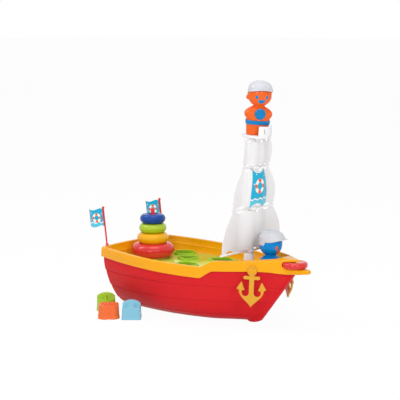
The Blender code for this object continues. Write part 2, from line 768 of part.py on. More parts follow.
def sail_point(level, y, over, tall, half):
    """A point of a sail's sheet, at y across and a height over its yard."""
    swell = math.sin(math.pi * min(max(over / tall, 0.0), 1.0))
    clear = min(max(min(over, tall - over), 0.0) / SAIL_RISE, 1.0) ** 0.7
    flat, foot = PANEL_HALF
    foot = min(foot, half * 0.62)
    panel = 1 - smooth(abs(y), flat, foot)
    outer = abs(y) / half
    ahead = YARD_AHEAD + SAIL_EDGE_SWELL[level] * swell * outer
    return ahead + ((SAIL_CHANNEL - YARD_AHEAD) * clear + SAIL_BELLY[level] * swell) * panel


def sail(level, name):
    low, (tall, rows) = YARD_UP[level], sail_rows(level)
    bm = bmesh.new()
    sides = []
    for back in (-SAIL_T / 2, SAIL_T / 2):
        grid = []
        for over in rows:
            share = min(max(over / tall, 0.0), 1.0)
            half = YARD_HALF[level] * (1 - share) + YARD_HALF[level + 1] * share - SAIL_TUCK
            half += SAIL_FLARE[level] * math.sin(math.pi * share)
            grid.append([bm.verts.new((sail_point(level, y, over, tall, half) + back, y, low + over))
                         for y in sail_columns(half)])
        sides.append(grid)
        for below, above in zip(grid, grid[1:]):
            for c in range(len(below) - 1):
                bm.faces.new((below[c], below[c + 1], above[c + 1], above[c]))
    aft, fore = sides
    last_row, last_column = len(rows) - 1, len(aft[0]) - 1
    border = [(0, c) for c in range(last_column)] + [(r, last_column) for r in range(last_row)]
    border += [(last_row, c) for c in range(last_column, 0, -1)] + [(r, 0) for r in range(last_row, 0, -1)]
    for (r0, c0), (r1, c1) in zip(border, border[1:] + border[:1]):
        bm.faces.new((aft[r0][c0], aft[r1][c1], fore[r1][c1], fore[r0][c0]))
    piece = finish(name, bm, white(), mast_frame())
    combine(piece, "DIFFERENCE", sail_cuts(level))
    yards, clips, bores = yards_and_clips(level)
    combine(piece, "UNION", yards)
    combine(piece, "UNION", clips)
    combine(piece, "DIFFERENCE", bores)
    return piece


def sail_cuts(level):
    """Oval openings at the yards, near their ends and in front of the mast."""
    bm = bmesh.new()
    for end in (level, level + 1):
        for place in (-1, 0, 1):
            y = place * (YARD_HALF[end] - CUT_IN)
            wide, tall = CUT_HALF if place else CUT_MIDDLE
            if place and YARD_HALF[end] < 0.06:
                wide, y = 0.0085, place * 0.033
            oval = [(wide * math.cos(a) + y, tall * math.sin(a) + YARD_UP[end])
                    for a in (2 * math.pi * k / 12 for k in range(12))]
            rings = [[(x, u, z) for u, z in oval] for x in (-0.02, 0.06)]
            skin(rings, bm)
    return bm


def yards_and_clips(level):
    """The sail's yards, the clip rings in their middle, and the bores for the mast."""
    yards, clips, bores = bmesh.new(), bmesh.new(), bmesh.new()
    ends = (level,) if level < 2 else (2, 3)
    for end in ends:
        half, up = YARD_HALF[end], YARD_UP[end]
        rod((YARD_AHEAD, -half, up), (YARD_AHEAD, half, up), YARD_R, 8, yards)
        outer = MAST_R + RUN_GAP + CLIP_WALL
        low, high = up - CLIP_H / 2, up + CLIP_H / 2
        turned([(0, low), (outer, low), (outer, high), (0, high)], 18, clips)
        turned([(0, low - 0.004), (MAST_R + RUN_GAP, low - 0.004), (MAST_R + RUN_GAP, high + 0.004),
                (0, high + 0.004)], 18, bores)
    return yards, clips, bores


def crows_nest():
    """Round platform on the mast's top, with a lip, a hub and a curved rail towards the bow."""
    top, under = NEST_UP, NEST_UP - NEST_T
    hub = MAST_R + 0.0028
    bore = MAST_R + SEAT_GAP
    profile = [(0, under), (bore, under), (bore, under - NEST_HUB_H), (hub, under - NEST_HUB_H), (hub, under),
               (NEST_R - 0.003, under), (NEST_R - 0.003, under - NEST_LIP), (NEST_R - 0.0008, under - NEST_LIP),
               (NEST_R, top - 0.001), (NEST_R - 0.001, top), (0, top)]
    nest = finish("crows_nest", turned(profile, 32), white(), mast_frame())
    wall = 0.0025
    low, high = top - 0.001, top + NEST_RAIL_H
    steps = 12
    outer = arc(0, 0, NEST_R - 0.0004, -NEST_RAIL_HALF, NEST_RAIL_HALF, steps)
    inner = arc(0, 0, NEST_R - 0.0004 - wall, NEST_RAIL_HALF, -NEST_RAIL_HALF, steps)
    combine(nest, "UNION", prism(outer + inner, low, high))
    slots = bmesh.new()
    for turn in (-1, 1):
        a = turn * math.radians(20)
        box = placed(rounded_box(0.028, 0.042, -0.0011, 0.0011, 0.0008, 2), 0, 0, a)
        prism(box, top + 0.006, high - 0.006, slots)
    combine(nest, "DIFFERENCE", slots)


def figure_ring(z, wide, deep, power=2.5, steps=16):
    """A rounded-square ring of a figure: deep along X, the way it faces, and wide along Y."""
    ring = []
    for k in range(steps):
        a = 2 * math.pi * k / steps
        c, s = math.cos(a), math.sin(a)
        ring.append((deep * math.copysign(abs(c) ** (2 / power), c),
                     wide * math.copysign(abs(s) ** (2 / power), s), z))
    return ring


# Half-width and half-depth of a sailor at heights above the soles
BODY_SECTIONS = ((0.0, 0.0245, 0.0148), (0.0020, 0.0262, 0.0165), (0.0215, 0.0276, 0.0190),
                 (0.0385, 0.0290, 0.0208), (0.0450, 0.0330, 0.0220), (0.0520, 0.0345, 0.0224),
                 (0.0590, 0.0315, 0.0208), (0.0650, 0.0240, 0.0180), (0.0690, 0.0165, 0.0145),
                 (0.0715, 0.0140, 0.0132))
HEAD_SECTIONS = ((0.0735, 0.0165, 0.0155), (0.0775, 0.0215, 0.0200), (0.0830, 0.0260, 0.0240),
                 (0.0900, 0.0285, 0.0262), (0.0970, 0.0292, 0.0268), (0.1050, 0.0288, 0.0264),
                 (0.1130, 0.0262, 0.0240), (0.1200, 0.0205, 0.0188), (0.1250, 0.0115, 0.0105))


def sailor(prefix, place, skin_paint, trim_paint):
    """One sailor: body with head, cap, belt and chest disc."""
    rings = [figure_ring(*section) for section in BODY_SECTIONS]
    rings += [figure_ring(*section, power=2.1) for section in HEAD_SECTIONS]
    body = finish(f"{prefix}_body", skin(rings), skin_paint, place, sharp=math.radians(60))
    ears = bmesh.new()
    rod((0.0, -0.0318, FIGURE_HEAD_Z - 0.007), (0.0, 0.0318, FIGURE_HEAD_Z - 0.007), 0.0058, 12, ears)
    combine(body, "UNION", ears)
    recess = along_x(turned([(0, CHEST_DEEP), (CHEST_R + SEAT_GAP, CHEST_DEEP), (CHEST_R + SEAT_GAP, 0.04),
                             (0, 0.04)], 24))
    recess.transform(Matrix.Translation((0, 0, CHEST_Z)))
    combine(body, "DIFFERENCE", recess)
    disc = turned([(0, CHEST_DEEP + SEAT_GAP), (CHEST_R, CHEST_DEEP + SEAT_GAP), (CHEST_R, CHEST_DEEP + 0.003),
                   (CHEST_R - 0.0015, CHEST_DEEP + 0.0042), (0, CHEST_DEEP + 0.0048)], 24)
    along_x(disc)
    disc.transform(Matrix.Translation((0, 0, CHEST_Z)))
    finish(f"{prefix}_chest_disc", disc, trim_paint, place)
    belt(prefix, place, trim_paint)
    cap(prefix, place)


CHEST_DEEP = 0.0196


def belt(prefix, place, paint):
    low, high = BELT_Z
    def half(z):
        (z0, w0, d0), (z1, w1, d1) = BODY_SECTIONS[2], BODY_SECTIONS[3]
        share = (z - z0) / (z1 - z0)
        return w0 + (w1 - w0) * share, d0 + (d1 - d0) * share
    rings = []
    soft = 0.001
    for z, grow in ((low, SEAT_GAP), (low, BELT_PROUD - soft), (low + soft, BELT_PROUD),
                    (high - soft, BELT_PROUD), (high, BELT_PROUD - soft), (high, SEAT_GAP)):
        wide, deep = half(z)
        rings.append(figure_ring(z, wide + grow, deep + grow))
    bm = skin(rings, caps=(False, False))
    bm.verts.ensure_lookup_table()
    count = len(rings[0])
    inner, outer = bm.verts[:count], bm.verts[len(bm.verts) - count:]
    for k in range(count):
        n = (k + 1) % count
        bm.faces.new((inner[k], inner[n], outer[n], outer[k]))
    finish(f"{prefix}_belt", bm, paint, place)


def cap(prefix, place):
    """Soft sailor's cap: a domed shell over the head with a small peak in front."""
    sections = [s for s in HEAD_SECTIONS if s[0] >= 0.105]
    def peak(ring, reach, flap):
        shaped = []
        for x, y, z in ring:
            front = max(x, 0.0) / 0.03
            back = max(-x, 0.0) / 0.03
            shaped.append((x + reach * front ** 4, y, z - flap * back ** 2))
        return shaped
    grow = SEAT_GAP
    inner = [peak(figure_ring(z, w + grow * spare, d + grow * spare, 2.1), 0, drop)
             for (z, w, d), spare, drop in zip(sections, (4, 2, 1.5, 1), (0.004, 0, 0, 0))]
    inner[-1] = figure_ring(sections[-1][0] + grow, sections[-1][1], sections[-1][2], 2.1)
    outer = [peak(figure_ring(0.1050, 0.0300, 0.0285, 2.1), 0.006, 0.004),
             peak(figure_ring(0.1065, 0.0316, 0.0300, 2.1), 0.006, 0.004),
             peak(figure_ring(0.1085, 0.0316, 0.0298, 2.1), 0.002, 0.002),
             figure_ring(0.1130, 0.0308, 0.0290, 2.1), figure_ring(0.1190, 0.0278, 0.0262, 2.1),
             figure_ring(0.1250, 0.0220, 0.0208, 2.1), figure_ring(0.1300, 0.0140, 0.0132, 2.1),
             figure_ring(0.1325, 0.0060, 0.0056, 2.1)]
    finish(f"{prefix}_cap", skin(inner[::-1] + outer), white(), place, sharp=math.radians(60))


def flags():
    for side, name in ((-1, "starboard"), (1, "port")):
        lift = rim_height(FLAG_POLE_X) + SEAT_GAP + 0.0007
        place = (Matrix.Translation((FLAG_POLE_X, side * FLAG_POLE_Y, lift))
                 @ Matrix.Rotation(-FLAG_RAKE, 4, "Y"))
        r, top = FLAG_POLE_R, FLAG_POLE_L
        profile = [(0, 0), (0.0046, 0), (0.0046, 0.002), (r * 1.3, 0.005), (r, 0.008), (r, top - 0.0065),
                   (r * 1.45, top - 0.0055), (r * 1.65, top - 0.003), (r * 1.1, top - 0.0008), (0, top)]
        finish(f"flag_pole_{name}", turned(profile, 10), red(), place)
        finish(f"flag_{name}", flag_sheet(), material("turquoise_print", (0.02, 0.47, 0.68), 0.4), place)


def flag_sheet():
    """A stiff printed flag with a gentle wave, trailing aft of its pole."""
    columns, rows = 10, 2
    top = FLAG_POLE_L - 0.008
    grids = []
    bm = bmesh.new()
    for face in (-0.5, 0.5):
        grid = []
        for r in range(rows + 1):
            row = []
            for c in range(columns + 1):
                share = c / columns
                x = -(FLAG_POLE_R + SEAT_GAP) - FLAG_L * share
                wave = 0.0028 * math.sin(2 * math.pi * share) * smooth(share, 0, 0.3)
                sag = 0.0020 * math.sin(2 * math.pi * share * 1.1)
                z = top - FLAG_H * r / rows + sag
                row.append(bm.verts.new((x, wave + face * FLAG_T, z)))
            grid.append(row)
        grids.append(grid)
    back, front = grids
    for grid in grids:
        for low, high in zip(grid, grid[1:]):
            for c in range(columns):
                bm.faces.new((low[c], low[c + 1], high[c + 1], high[c]))
    border = [(0, c) for c in range(columns)] + [(r, columns) for r in range(rows)]
    border += [(rows, c) for c in range(columns, 0, -1)] + [(r, 0) for r in range(rows, 0, -1)]
    for (r0, c0), (r1, c1) in zip(border, border[1:] + border[:1]):
        bm.faces.new((back[r0][c0], back[r1][c1], front[r1][c1], front[r0][c0]))
    return bm


def anchor_outline():
    """Outline of the anchor in (along, up), about its ring: ring, stock, shank, arms and flukes."""
    shank, stock_y, stock_h, stock_half = 0.0060, -0.0168, 0.0042, 0.0205
    meet = math.sqrt(ANCHOR_RING_R ** 2 - shank ** 2)
    right = arc(0, 0, ANCHOR_RING_R, math.pi / 2, -math.atan2(meet, shank), 8)
    right += [(shank, stock_y + stock_h)]
    right += arc(stock_half - stock_h, stock_y, stock_h, math.pi / 2, -math.pi / 2, 5)
    right += [(shank, stock_y - stock_h)]
    right += arc(0.0147, -0.0540, 0.0088, math.pi, 2 * math.pi, 6)
    right += [(0.0235, -0.0490), (0.0165, -0.0476), (0.0246, -0.0262), (0.0365, -0.0450), (0.0305, -0.0475)]
    start, pull, end = Vector((0.0305, -0.0475)), Vector((0.0290, -0.0690)), Vector((0.0, -0.0853))
    for k in range(1, 8):
        t = k / 8
        right.append(tuple(start * (1 - t) ** 2 + pull * 2 * t * (1 - t) + end * t * t))
    return right + [(0.0, -0.0853)] + [(-u, w) for u, w in right[:0:-1]]


def anchors():
    for side, name in ((-1, "starboard"), (1, "port")):
        frame = anchor_frame(side)
        soft = 0.0007
        rings = []
        outline = anchor_outline()
        for x, inward in ((0.0, soft), (soft, 0.0), (ANCHOR_T - soft, 0.0), (ANCHOR_T, soft)):
            rings.append([(x, u * (1 - inward / 0.03), w + inward * (0.5 if w < -0.05 else -0.5))
                          for u, w in outline])
        plate = finish(f"anchor_{name}", skin(rings), yellow(), frame)
        hole = along_x(turned([(0, -0.01), (ANCHOR_HOLE_R, -0.01), (ANCHOR_HOLE_R, 0.02), (0, 0.02)], 20))
        combine(plate, "DIFFERENCE", hole)
        head = ANCHOR_T + SEAT_GAP
        profile = [(0, -PEG_SINK), (PEG_R, -PEG_SINK), (PEG_R, head), (PEG_HEAD_R, head),
                   (PEG_HEAD_R, head + 0.0012), (PEG_HEAD_R - 0.0012, head + 0.0022), (0.0014, head + 0.0026),
                   (0.0014, head + 0.0008), (0, head + 0.0008)]
        finish(f"anchor_peg_{name}", along_x(turned(profile, 16)), yellow(), frame)


def bow_disc():
    half, edge = DISC_H / 2, 0.0065
    bore = DISC_PIN_R + RUN_GAP
    section = [(bore, half), (bore, -half), (DISC_R - edge, -half)]
    section += arc(DISC_R - edge, -half + edge, edge, -math.pi / 3, 0, 2)
    section += arc(DISC_R - edge, half - edge, edge, 0, math.pi / 3, 2)
    section += [(DISC_R - edge, half)]
    finish("bow_disc", turned(section, 28), red(), Matrix.Translation((DISC_X, 0, DISC_Z)))
    low = DISC_Z - half - SLOT_CLEAR + SEAT_GAP
    high = rim_height(DISC_X) - TUB_WALL - SEAT_GAP
    profile = [(0, low), (DISC_PIN_R, low), (DISC_PIN_R, high), (0, high)]
    finish("bow_disc_pin", turned(profile, 20), yellow(), Matrix.Translation((DISC_X, 0, 0)))


def blocks():
    paints = {"block_round": lime(), "block_clover": material("tangerine_plastic", (0.90, 0.19, 0.04), 0.35),
              "block_square": material("sky_plastic", (0.24, 0.56, 0.72), 0.35)}
    for name, (x, y) in BLOCK_PLACES.items():
        kind = name.split("_")[1]
        place = Matrix.Translation((x, y, 0)) @ Matrix.Rotation(BLOCK_TURN, 4, "Z")
        block = finish(name, block_body(kind), paints[name], place)
        if kind != "clover":
            combine(block, "INTERSECT", block_arch())
            combine(block, "DIFFERENCE", block_scoops())


def block_body(kind):
    top = CLOVER_H if kind == "clover" else BLOCK_H + BLOCK_ARCH + 0.004
    soft = 0.0015
    levels = [(-soft, 0.0), (0.0008, soft), (0.0008, 0.004), (0.0, 0.0055), (0.0, top - soft), (-soft, top)]
    return skin([[(*p, z) for p in shape_outline(kind, grow)] for grow, z in levels])


def block_arch():
    """What the top of a block is rounded by: an arch over its width."""
    reach = BLOCK_HALF + 0.002
    top = BLOCK_H + BLOCK_ARCH
    arch = [(reach * math.cos(a), BLOCK_H - 0.004 + (top - BLOCK_H + 0.004) * math.sin(a))
            for a in (math.pi * k / 13 for k in range(14))]
    outline = [(-reach, -0.002), (reach, -0.002)] + arch
    return skin([[(x, y, z) for x, z in outline] for y in (-0.04, 0.04)])


def block_scoops():
    """The two finger scoops on each side of the middle web."""
    bm = bmesh.new()
    for side in (-1, 1):
        ball = bmesh.new()
        bmesh.ops.create_uvsphere(ball, u_segments=12, v_segments=8, radius=1.0)
        ball.transform(Matrix.Translation((0, side * 0.0195, BLOCK_H + 0.0115))
                       @ Matrix.Diagonal((0.0165, 0.0165, 0.0125, 1)))
        mesh = bpy.data.meshes.new("scoop_part")
        ball.to_mesh(mesh)
        ball.free()
        bm.from_mesh(mesh)
        bpy.data.meshes.remove(mesh)
    return bm


def main():
    for old in list(bpy.data.objects):
        bpy.data.objects.remove(old)
    hull()
    gunwale_tub()
    sorter_deck()
    ring_stack()
    mast()
    for level, name in enumerate(("sail_lower", "sail_middle", "sail_top")):
        sail(level, name)
    crows_nest()
    on_nest = (mast_frame() @ Matrix.Translation((0, 0, NEST_UP + SEAT_GAP))
               @ Matrix.Rotation(TOP_SAILOR_TURN, 4, "Z"))
    sailor("top_sailor", on_nest, orange(), material("bright_blue_plastic", (0.01, 0.27, 0.58), 0.35))
    on_floor = Matrix.Translation((BOW_SAILOR_X, 0, FLOOR_Z + SEAT_GAP))
    sailor("bow_sailor", on_floor, blue(), orange())
    flags()
    anchors()
    bow_disc()
    blocks()


main()
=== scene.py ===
# %% [markdown]
# A play boat, dressed
#
# The boat is a toy moulded in glossy plastic: a red hull, a yellow tub on top of it, a green
# sorter deck, a stack of rings, a white mast with three rigid sails, two sailors and a few
# loose blocks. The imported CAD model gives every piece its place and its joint. This lesson
# makes a smooth surface for each piece, in the same place, and gives it a finish.

# %% Load the fixed frame
import json
import math

import bmesh
import bpy
import numpy as np
from mathutils import Matrix, Vector

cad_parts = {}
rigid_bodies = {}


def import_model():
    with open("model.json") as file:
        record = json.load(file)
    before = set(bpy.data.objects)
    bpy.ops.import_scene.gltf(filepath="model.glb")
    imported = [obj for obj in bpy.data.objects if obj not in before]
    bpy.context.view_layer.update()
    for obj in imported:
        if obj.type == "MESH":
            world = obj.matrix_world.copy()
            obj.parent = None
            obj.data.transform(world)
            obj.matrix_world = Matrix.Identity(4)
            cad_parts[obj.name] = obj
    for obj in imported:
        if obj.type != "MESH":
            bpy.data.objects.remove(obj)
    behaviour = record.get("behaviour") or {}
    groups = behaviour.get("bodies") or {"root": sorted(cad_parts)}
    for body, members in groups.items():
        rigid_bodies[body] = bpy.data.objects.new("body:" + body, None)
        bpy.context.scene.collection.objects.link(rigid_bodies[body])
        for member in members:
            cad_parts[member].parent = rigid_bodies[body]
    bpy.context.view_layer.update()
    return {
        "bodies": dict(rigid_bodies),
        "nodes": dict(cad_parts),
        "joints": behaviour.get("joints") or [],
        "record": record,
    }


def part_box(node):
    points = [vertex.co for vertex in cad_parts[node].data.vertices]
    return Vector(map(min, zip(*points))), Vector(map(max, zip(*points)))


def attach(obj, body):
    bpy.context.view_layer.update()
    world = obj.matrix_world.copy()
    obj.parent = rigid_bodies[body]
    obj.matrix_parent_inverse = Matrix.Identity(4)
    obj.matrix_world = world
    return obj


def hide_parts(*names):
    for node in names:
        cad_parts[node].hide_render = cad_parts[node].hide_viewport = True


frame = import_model()

# %% [markdown]
# Colours
#
# The colours are written as they look on the screen. Blender's shaders want linear light, so
# one helper turns a six digit colour into linear values.


# %% Colours of the plastics
def screen_colour(code):
    """Linear red, green and blue of a colour written as six hexadecimal digits."""
    parts = np.array([int(code[k:k + 2], 16) for k in (0, 2, 4)]) / 255
    low = parts / 12.92
    high = ((parts + 0.055) / 1.055) ** 2.4
    return tuple(float(v) for v in np.where(parts <= 0.04045, low, high))


RED, YELLOW = "D8262C", "F2A70C"
RING_RED, RING_BLUE = "DE2A2A", "17459F"
SAIL_WHITE, CAP_WHITE = "EFEEF0", "CDCED3"
ORANGE, BRIGHT_BLUE, SAILOR_BLUE, TRIM_ORANGE = "F06A26", "0C80BF", "0088D4", "F0661F"
TURQUOISE, PALE_SEA = "12ADD2", "58C8E2"
ANCHOR_GOLD, TANGERINE, SKY = "DFA42F", "F0723A", "84C3DA"
print("pale sail in linear light:", screen_colour(SAIL_WHITE))

# %% [markdown]
# Shader maths in Python
#
# A procedural finish is mostly arithmetic: masks, distances and blends. Wrapping a socket in
# a small class lets that arithmetic be written as ordinary expressions, and each operator
# adds the Math node it stands for.


# %% A socket that does arithmetic
class Value:
    """A number that varies over a surface: the output socket of a node in a finish."""

    def __init__(self, finish, socket):
        self.finish, self.socket = finish, socket

    def _math(self, operation, *others):
        return self.finish.node("ShaderNodeMath", {"operation": operation}, [self, *others])

    def __add__(self, other):
        return self._math("ADD", other)

    def __sub__(self, other):
        return self._math("SUBTRACT", other)

    def __mul__(self, other):
        return self._math("MULTIPLY", other)

    def __truediv__(self, other):
        return self._math("DIVIDE", other)

    def __pow__(self, other):
        return self._math("POWER", other)

    def __rsub__(self, other):
        return self.finish.node("ShaderNodeMath", {"operation": "SUBTRACT"}, [other, self])

    def __rtruediv__(self, other):
        return self.finish.node("ShaderNodeMath", {"operation": "DIVIDE"}, [other, self])

    def __abs__(self):
        return self._math("ABSOLUTE")

    __radd__ = __add__
    __rmul__ = __mul__

    def least(self, other):
        return self._math("MINIMUM", other)

    def most(self, other):
        return self._math("MAXIMUM", other)

    def root(self):
        return self._math("SQRT")

    def sine(self):
        return self._math("SINE")

    def below(self, edge, soft):
        """1 where the value is below the edge and 0 above, with a ramp of the given width."""
        ramp = (edge - self) * (1 / soft) + 0.5
        return ramp.least(1.0).most(0.0)


# %% A finish: one material and its nodes
class Finish:
    """A material built node by node round one Principled shader."""

    def __init__(self, name, tree=None):
        if tree is None:
            self.material = bpy.data.materials.new(name)
            self.material.use_nodes = True
            tree = self.material.node_tree
        self.tree, self.shader = tree, tree.nodes.get("Principled BSDF")

    def node(self, kind, settings=None, inputs=(), output=0):
        """Add a node: its settings first, then the values or links of its sockets."""
        made = self.tree.nodes.new(kind)
        for key, setting in (settings or {}).items():
            if key == "stops":
                for place, colour in setting[:-2]:
                    made.color_ramp.elements.new(place)
                for element, (place, colour) in zip(made.color_ramp.elements, setting):
                    element.position, element.color = place, colour
            else:
                setattr(made, key, setting)
        pairs = inputs.items() if isinstance(inputs, dict) else enumerate(inputs)
        for key, given in pairs:
            if isinstance(given, Value):
                self.tree.links.new(given.socket, made.inputs[key])
            elif given is not None:
                made.inputs[key].default_value = given
        return Value(self, made.outputs[output])

    def place(self, turn=(0, 0, 0), centre=(0, 0, 0)):
        """Object coordinates, moved so that centre is 0 and then turned."""
        place = self.node("ShaderNodeTexCoord", output=3)
        back = self.node("ShaderNodeVectorMath", {"operation": "SUBTRACT"}, [place, centre])
        return self.node("ShaderNodeMapping", {"vector_type": "POINT"}, [back, (0, 0, 0), turn])

    def split(self, vector):
        """The three numbers of a vector."""
        made = self.node("ShaderNodeSeparateXYZ", inputs=[vector])
        return [Value(self, s) for s in made.socket.node.outputs]

    def mix(self, share, low, high):
        """Blend two colours. Each is a screen colour's code or the colour of a node."""
        sides = [(*screen_colour(c), 1.0) if isinstance(c, str) else c for c in (low, high)]
        return self.node("ShaderNodeMix", {"data_type": "RGBA"}, {0: share, 6: sides[0], 7: sides[1]}, 2)

    def noise(self, scale, detail=2.0):
        """Cloudy noise from 0 to 1 at a number of lumps per metre."""
        return self.node("ShaderNodeTexNoise", {}, {"Vector": self.place(), "Scale": scale, "Detail": detail})

    def uneven(self, level, scale, spread, detail=3.0):
        """A roughness that strays round its level by up to half the spread."""
        return level + (self.noise(scale, detail) - 0.5) * spread

    def set(self, **given):
        """Set or link inputs of the shader, with _ for the spaces in their names."""
        for key, value in given.items():
            socket = self.shader.inputs[key.replace("_", " ")]
            if isinstance(value, Value):
                self.tree.links.new(value.socket, socket)
            elif isinstance(value, str):
                socket.default_value = (*screen_colour(value), 1.0)
            else:
                socket.default_value = value
        return self

    def relief(self, height, distance):
        """Small relief: a height from 0 to 1 that stands for the distance in metres."""
        bump = self.node("ShaderNodeBump", {}, {"Height": height, "Distance": distance, "Strength": 1.0})
        return self.set(Normal=bump)


# %% [markdown]
# Moulded plastic
#
# Every piece is injection moulded. Such plastic is glossy with a faint orange peel, its
# colour drifts a little where the melt flowed, and handling leaves the gloss uneven. All of
# this is far smaller than the shapes, so it stays in the finish.


# %% The plastic finish
def moulded(name, colour, gloss=0.2, drift=0.05, coat=0.05, peel=0.00006, shine=0.2):
    """Glossy plastic: a drifting colour, uneven gloss and a fine orange peel."""
    finish = Finish(name)
    flow = finish.noise(9.0, 2.0)
    dark = "".join(f"{int(int(colour[k:k + 2], 16) * (1 - drift)):02X}" for k in (0, 2, 4))
    finish.set(Base_Color=finish.mix(flow, dark, colour))
    finish.set(Roughness=finish.uneven(gloss, 35.0, 0.10), Coat_Weight=coat, Coat_Roughness=0.08,
               Specular_IOR_Level=shine)
    return finish.relief(finish.noise(650.0, 1.0), peel)


PAINTS = {
    "yellow": moulded("tub_yellow", YELLOW, gloss=0.20, shine=0.15, peel=0.00002),
    "lime": moulded("deck_lime", "CFEA52", gloss=0.16, shine=0.5),
    "lip_lime": moulded("lip_lime", "A9DA2C", gloss=0.24, shine=0.25),
    "ring_red": moulded("ring_red", RING_RED, gloss=0.07, coat=0.0, shine=0.45, peel=0.00001),
    "ring_yellow": moulded("ring_yellow", "F7B208", gloss=0.07, coat=0.0, shine=0.32, peel=0.00001),
    "ring_green": moulded("ring_green", "AFCB25", gloss=0.07, coat=0.0, shine=0.45, peel=0.00001),
    "ring_blue": moulded("ring_blue", RING_BLUE, gloss=0.07, coat=0.0, shine=0.24, peel=0.00001),
    "white": moulded("mast_white", SAIL_WHITE, gloss=0.3, drift=0.02),
    "cap": moulded("cap_white", CAP_WHITE, gloss=0.26, drift=0.02),
    "bright_blue": moulded("trim_blue", BRIGHT_BLUE, gloss=0.12, shine=0.16, peel=0.00002),
    "trim_orange": moulded("trim_orange", TRIM_ORANGE, gloss=0.2),
    "gold": moulded("anchor_gold", ANCHOR_GOLD, gloss=0.3),
    "tangerine": moulded("block_tangerine", TANGERINE, gloss=0.3, shine=0.15),
    "sky": moulded("block_sky", SKY, gloss=0.3, shine=0.15),
    "block_lime": moulded("block_lime", "A5CA2B", gloss=0.3, shine=0.15),
}
print("plastics:", ", ".join(PAINTS))

# %% [markdown]
# From arrays to pieces
#
# Each surface is worked out as a whole numpy array: a grid of points that follows from two
# parameters. The helpers below turn such grids into closed meshes, put several of them in
# one piece, and hang the piece on the CAD body that it moves with.


# %% Grids and pieces
def grid_faces(rows, columns, first=0, loop=True):
    """Quads of a grid of rows by columns, whose columns close into a loop if asked."""
    r, c = np.meshgrid(np.arange(rows - 1), np.arange(columns - (0 if loop else 1)), indexing="ij")
    n = (c + 1) % columns
    quads = np.stack([r * columns + c, r * columns + n, (r + 1) * columns + n, (r + 1) * columns + c], -1)
    return (quads.reshape(-1, 4) + first).tolist()


def lofted(rings):
    """Points and faces of a stack of closed rings, (rows, columns, 3), with its ends closed."""
    rows, columns = rings.shape[:2]
    caps = [list(range(columns))[::-1], list(range((rows - 1) * columns, rows * columns))]
    return rings.reshape(-1, 3), grid_faces(rows, columns) + caps


def hooped(rings):
    """Points and faces of a stack of rings whose last ring joins its first, as on a tyre."""
    rows, columns = rings.shape[:2]
    r, c = np.meshgrid(np.arange(rows), np.arange(columns), indexing="ij")
    r1, c1 = (r + 1) % rows, (c + 1) % columns
    quads = np.stack([r * columns + c, r * columns + c1, r1 * columns + c1, r1 * columns + c], -1)
    return rings.reshape(-1, 3), quads.reshape(-1, 4).tolist()


def spun(section, steps):
    """Rings round Z, one for each (radius, height) row of a section."""
    r, z = np.asarray(section, float).T[:, :, None]
    turn = np.linspace(0, 2 * np.pi, steps, endpoint=False)
    return np.stack([r * np.cos(turn), r * np.sin(turn), np.repeat(z, steps, 1)], -1)


def revolved(profile, steps=96, place=Matrix.Identity(4)):
    """A profile of (radius, height) rows turned round Z, then put in place."""
    return moved(lofted(spun(np.maximum(profile, (1e-5, -np.inf)), steps)), place)


def sheeted(back, fore):
    """Points and faces of a thin sheet between two grids, (rows, columns, 3), its rim closed."""
    rows, columns = back.shape[:2]
    n = rows * columns
    faces = [f[::-1] for f in grid_faces(rows, columns, 0, False)] + grid_faces(rows, columns, n, False)
    grid = np.arange(n).reshape(rows, columns)
    rim = np.concatenate([grid[0, :-1], grid[:-1, -1], grid[-1, :0:-1], grid[:0:-1, 0]])
    after = np.roll(rim, -1)
    faces += np.stack([rim, after, after + n, rim + n], -1).tolist()
    return np.concatenate([back.reshape(-1, 3), fore.reshape(-1, 3)]), faces


def banded(rings):
    """Points and faces of a stack of symmetric rings whose ends are closed by bands across."""
    rows, size = rings.shape[:2]
    faces = grid_faces(rows, size)
    for start in (0, (rows - 1) * size):
        for k in range(size // 2):
            corners = [start + k, start + k + 1, start + (size - k - 1) % size, start + (size - k) % size]
            faces.append(list(dict.fromkeys(corners)))
    return rings.reshape(-1, 3), faces


def moved(part, place):
    """Points and faces carried into place by a matrix."""
    points, faces = part
    m = np.array(place)
    return points @ m[:3, :3].T + m[:3, 3], faces


def together(*parts):
    """Several closed surfaces in one list of points and faces."""
    points, faces, first = [], [], 0
    for p, f in parts:
        points.append(p)
        faces += [[i + first for i in face] for face in f]
        first += len(p)
    return np.concatenate(points), faces


def through(knots, count):
    """A smooth curve through rows of numbers: a cubic whose slope at each row is even."""
    knots = np.asarray(knots, float)
    t = np.linspace(0, len(knots) - 1, count)
    k = np.minimum(t.astype(int), len(knots) - 2)
    f = (t - k)[:, None]
    slope = np.gradient(knots, axis=0)
    a, b = knots[k], knots[k + 1]
    return ((2 * f ** 3 - 3 * f ** 2 + 1) * a + (f ** 3 - 2 * f ** 2 + f) * slope[k]
            + (3 * f ** 2 - 2 * f ** 3) * b + (f ** 3 - f ** 2) * slope[k + 1])


def solid(name, part, sharp=35):
    """A mesh object at the origin, its faces out and its small angles shaded smooth."""
    mesh = bpy.data.meshes.new(name)
    points, faces = part
    mesh.from_pydata(points.tolist(), [], faces)
    made = bpy.data.objects.new(name, mesh)
    bpy.context.scene.collection.objects.link(made)
    tidy(mesh, sharp)
    return made


def tidy(mesh, sharp=35):
    """Merge doubled points, turn the faces out and shade smooth up to an angle."""
    work = bmesh.new()
    work.from_mesh(mesh)
    bmesh.ops.remove_doubles(work, verts=work.verts, dist=2e-6)
    bmesh.ops.recalc_face_normals(work, faces=work.faces)
    work.to_mesh(mesh)
    work.free()
    mesh.shade_smooth()
    mesh.set_sharp_from_angle(angle=math.radians(sharp))


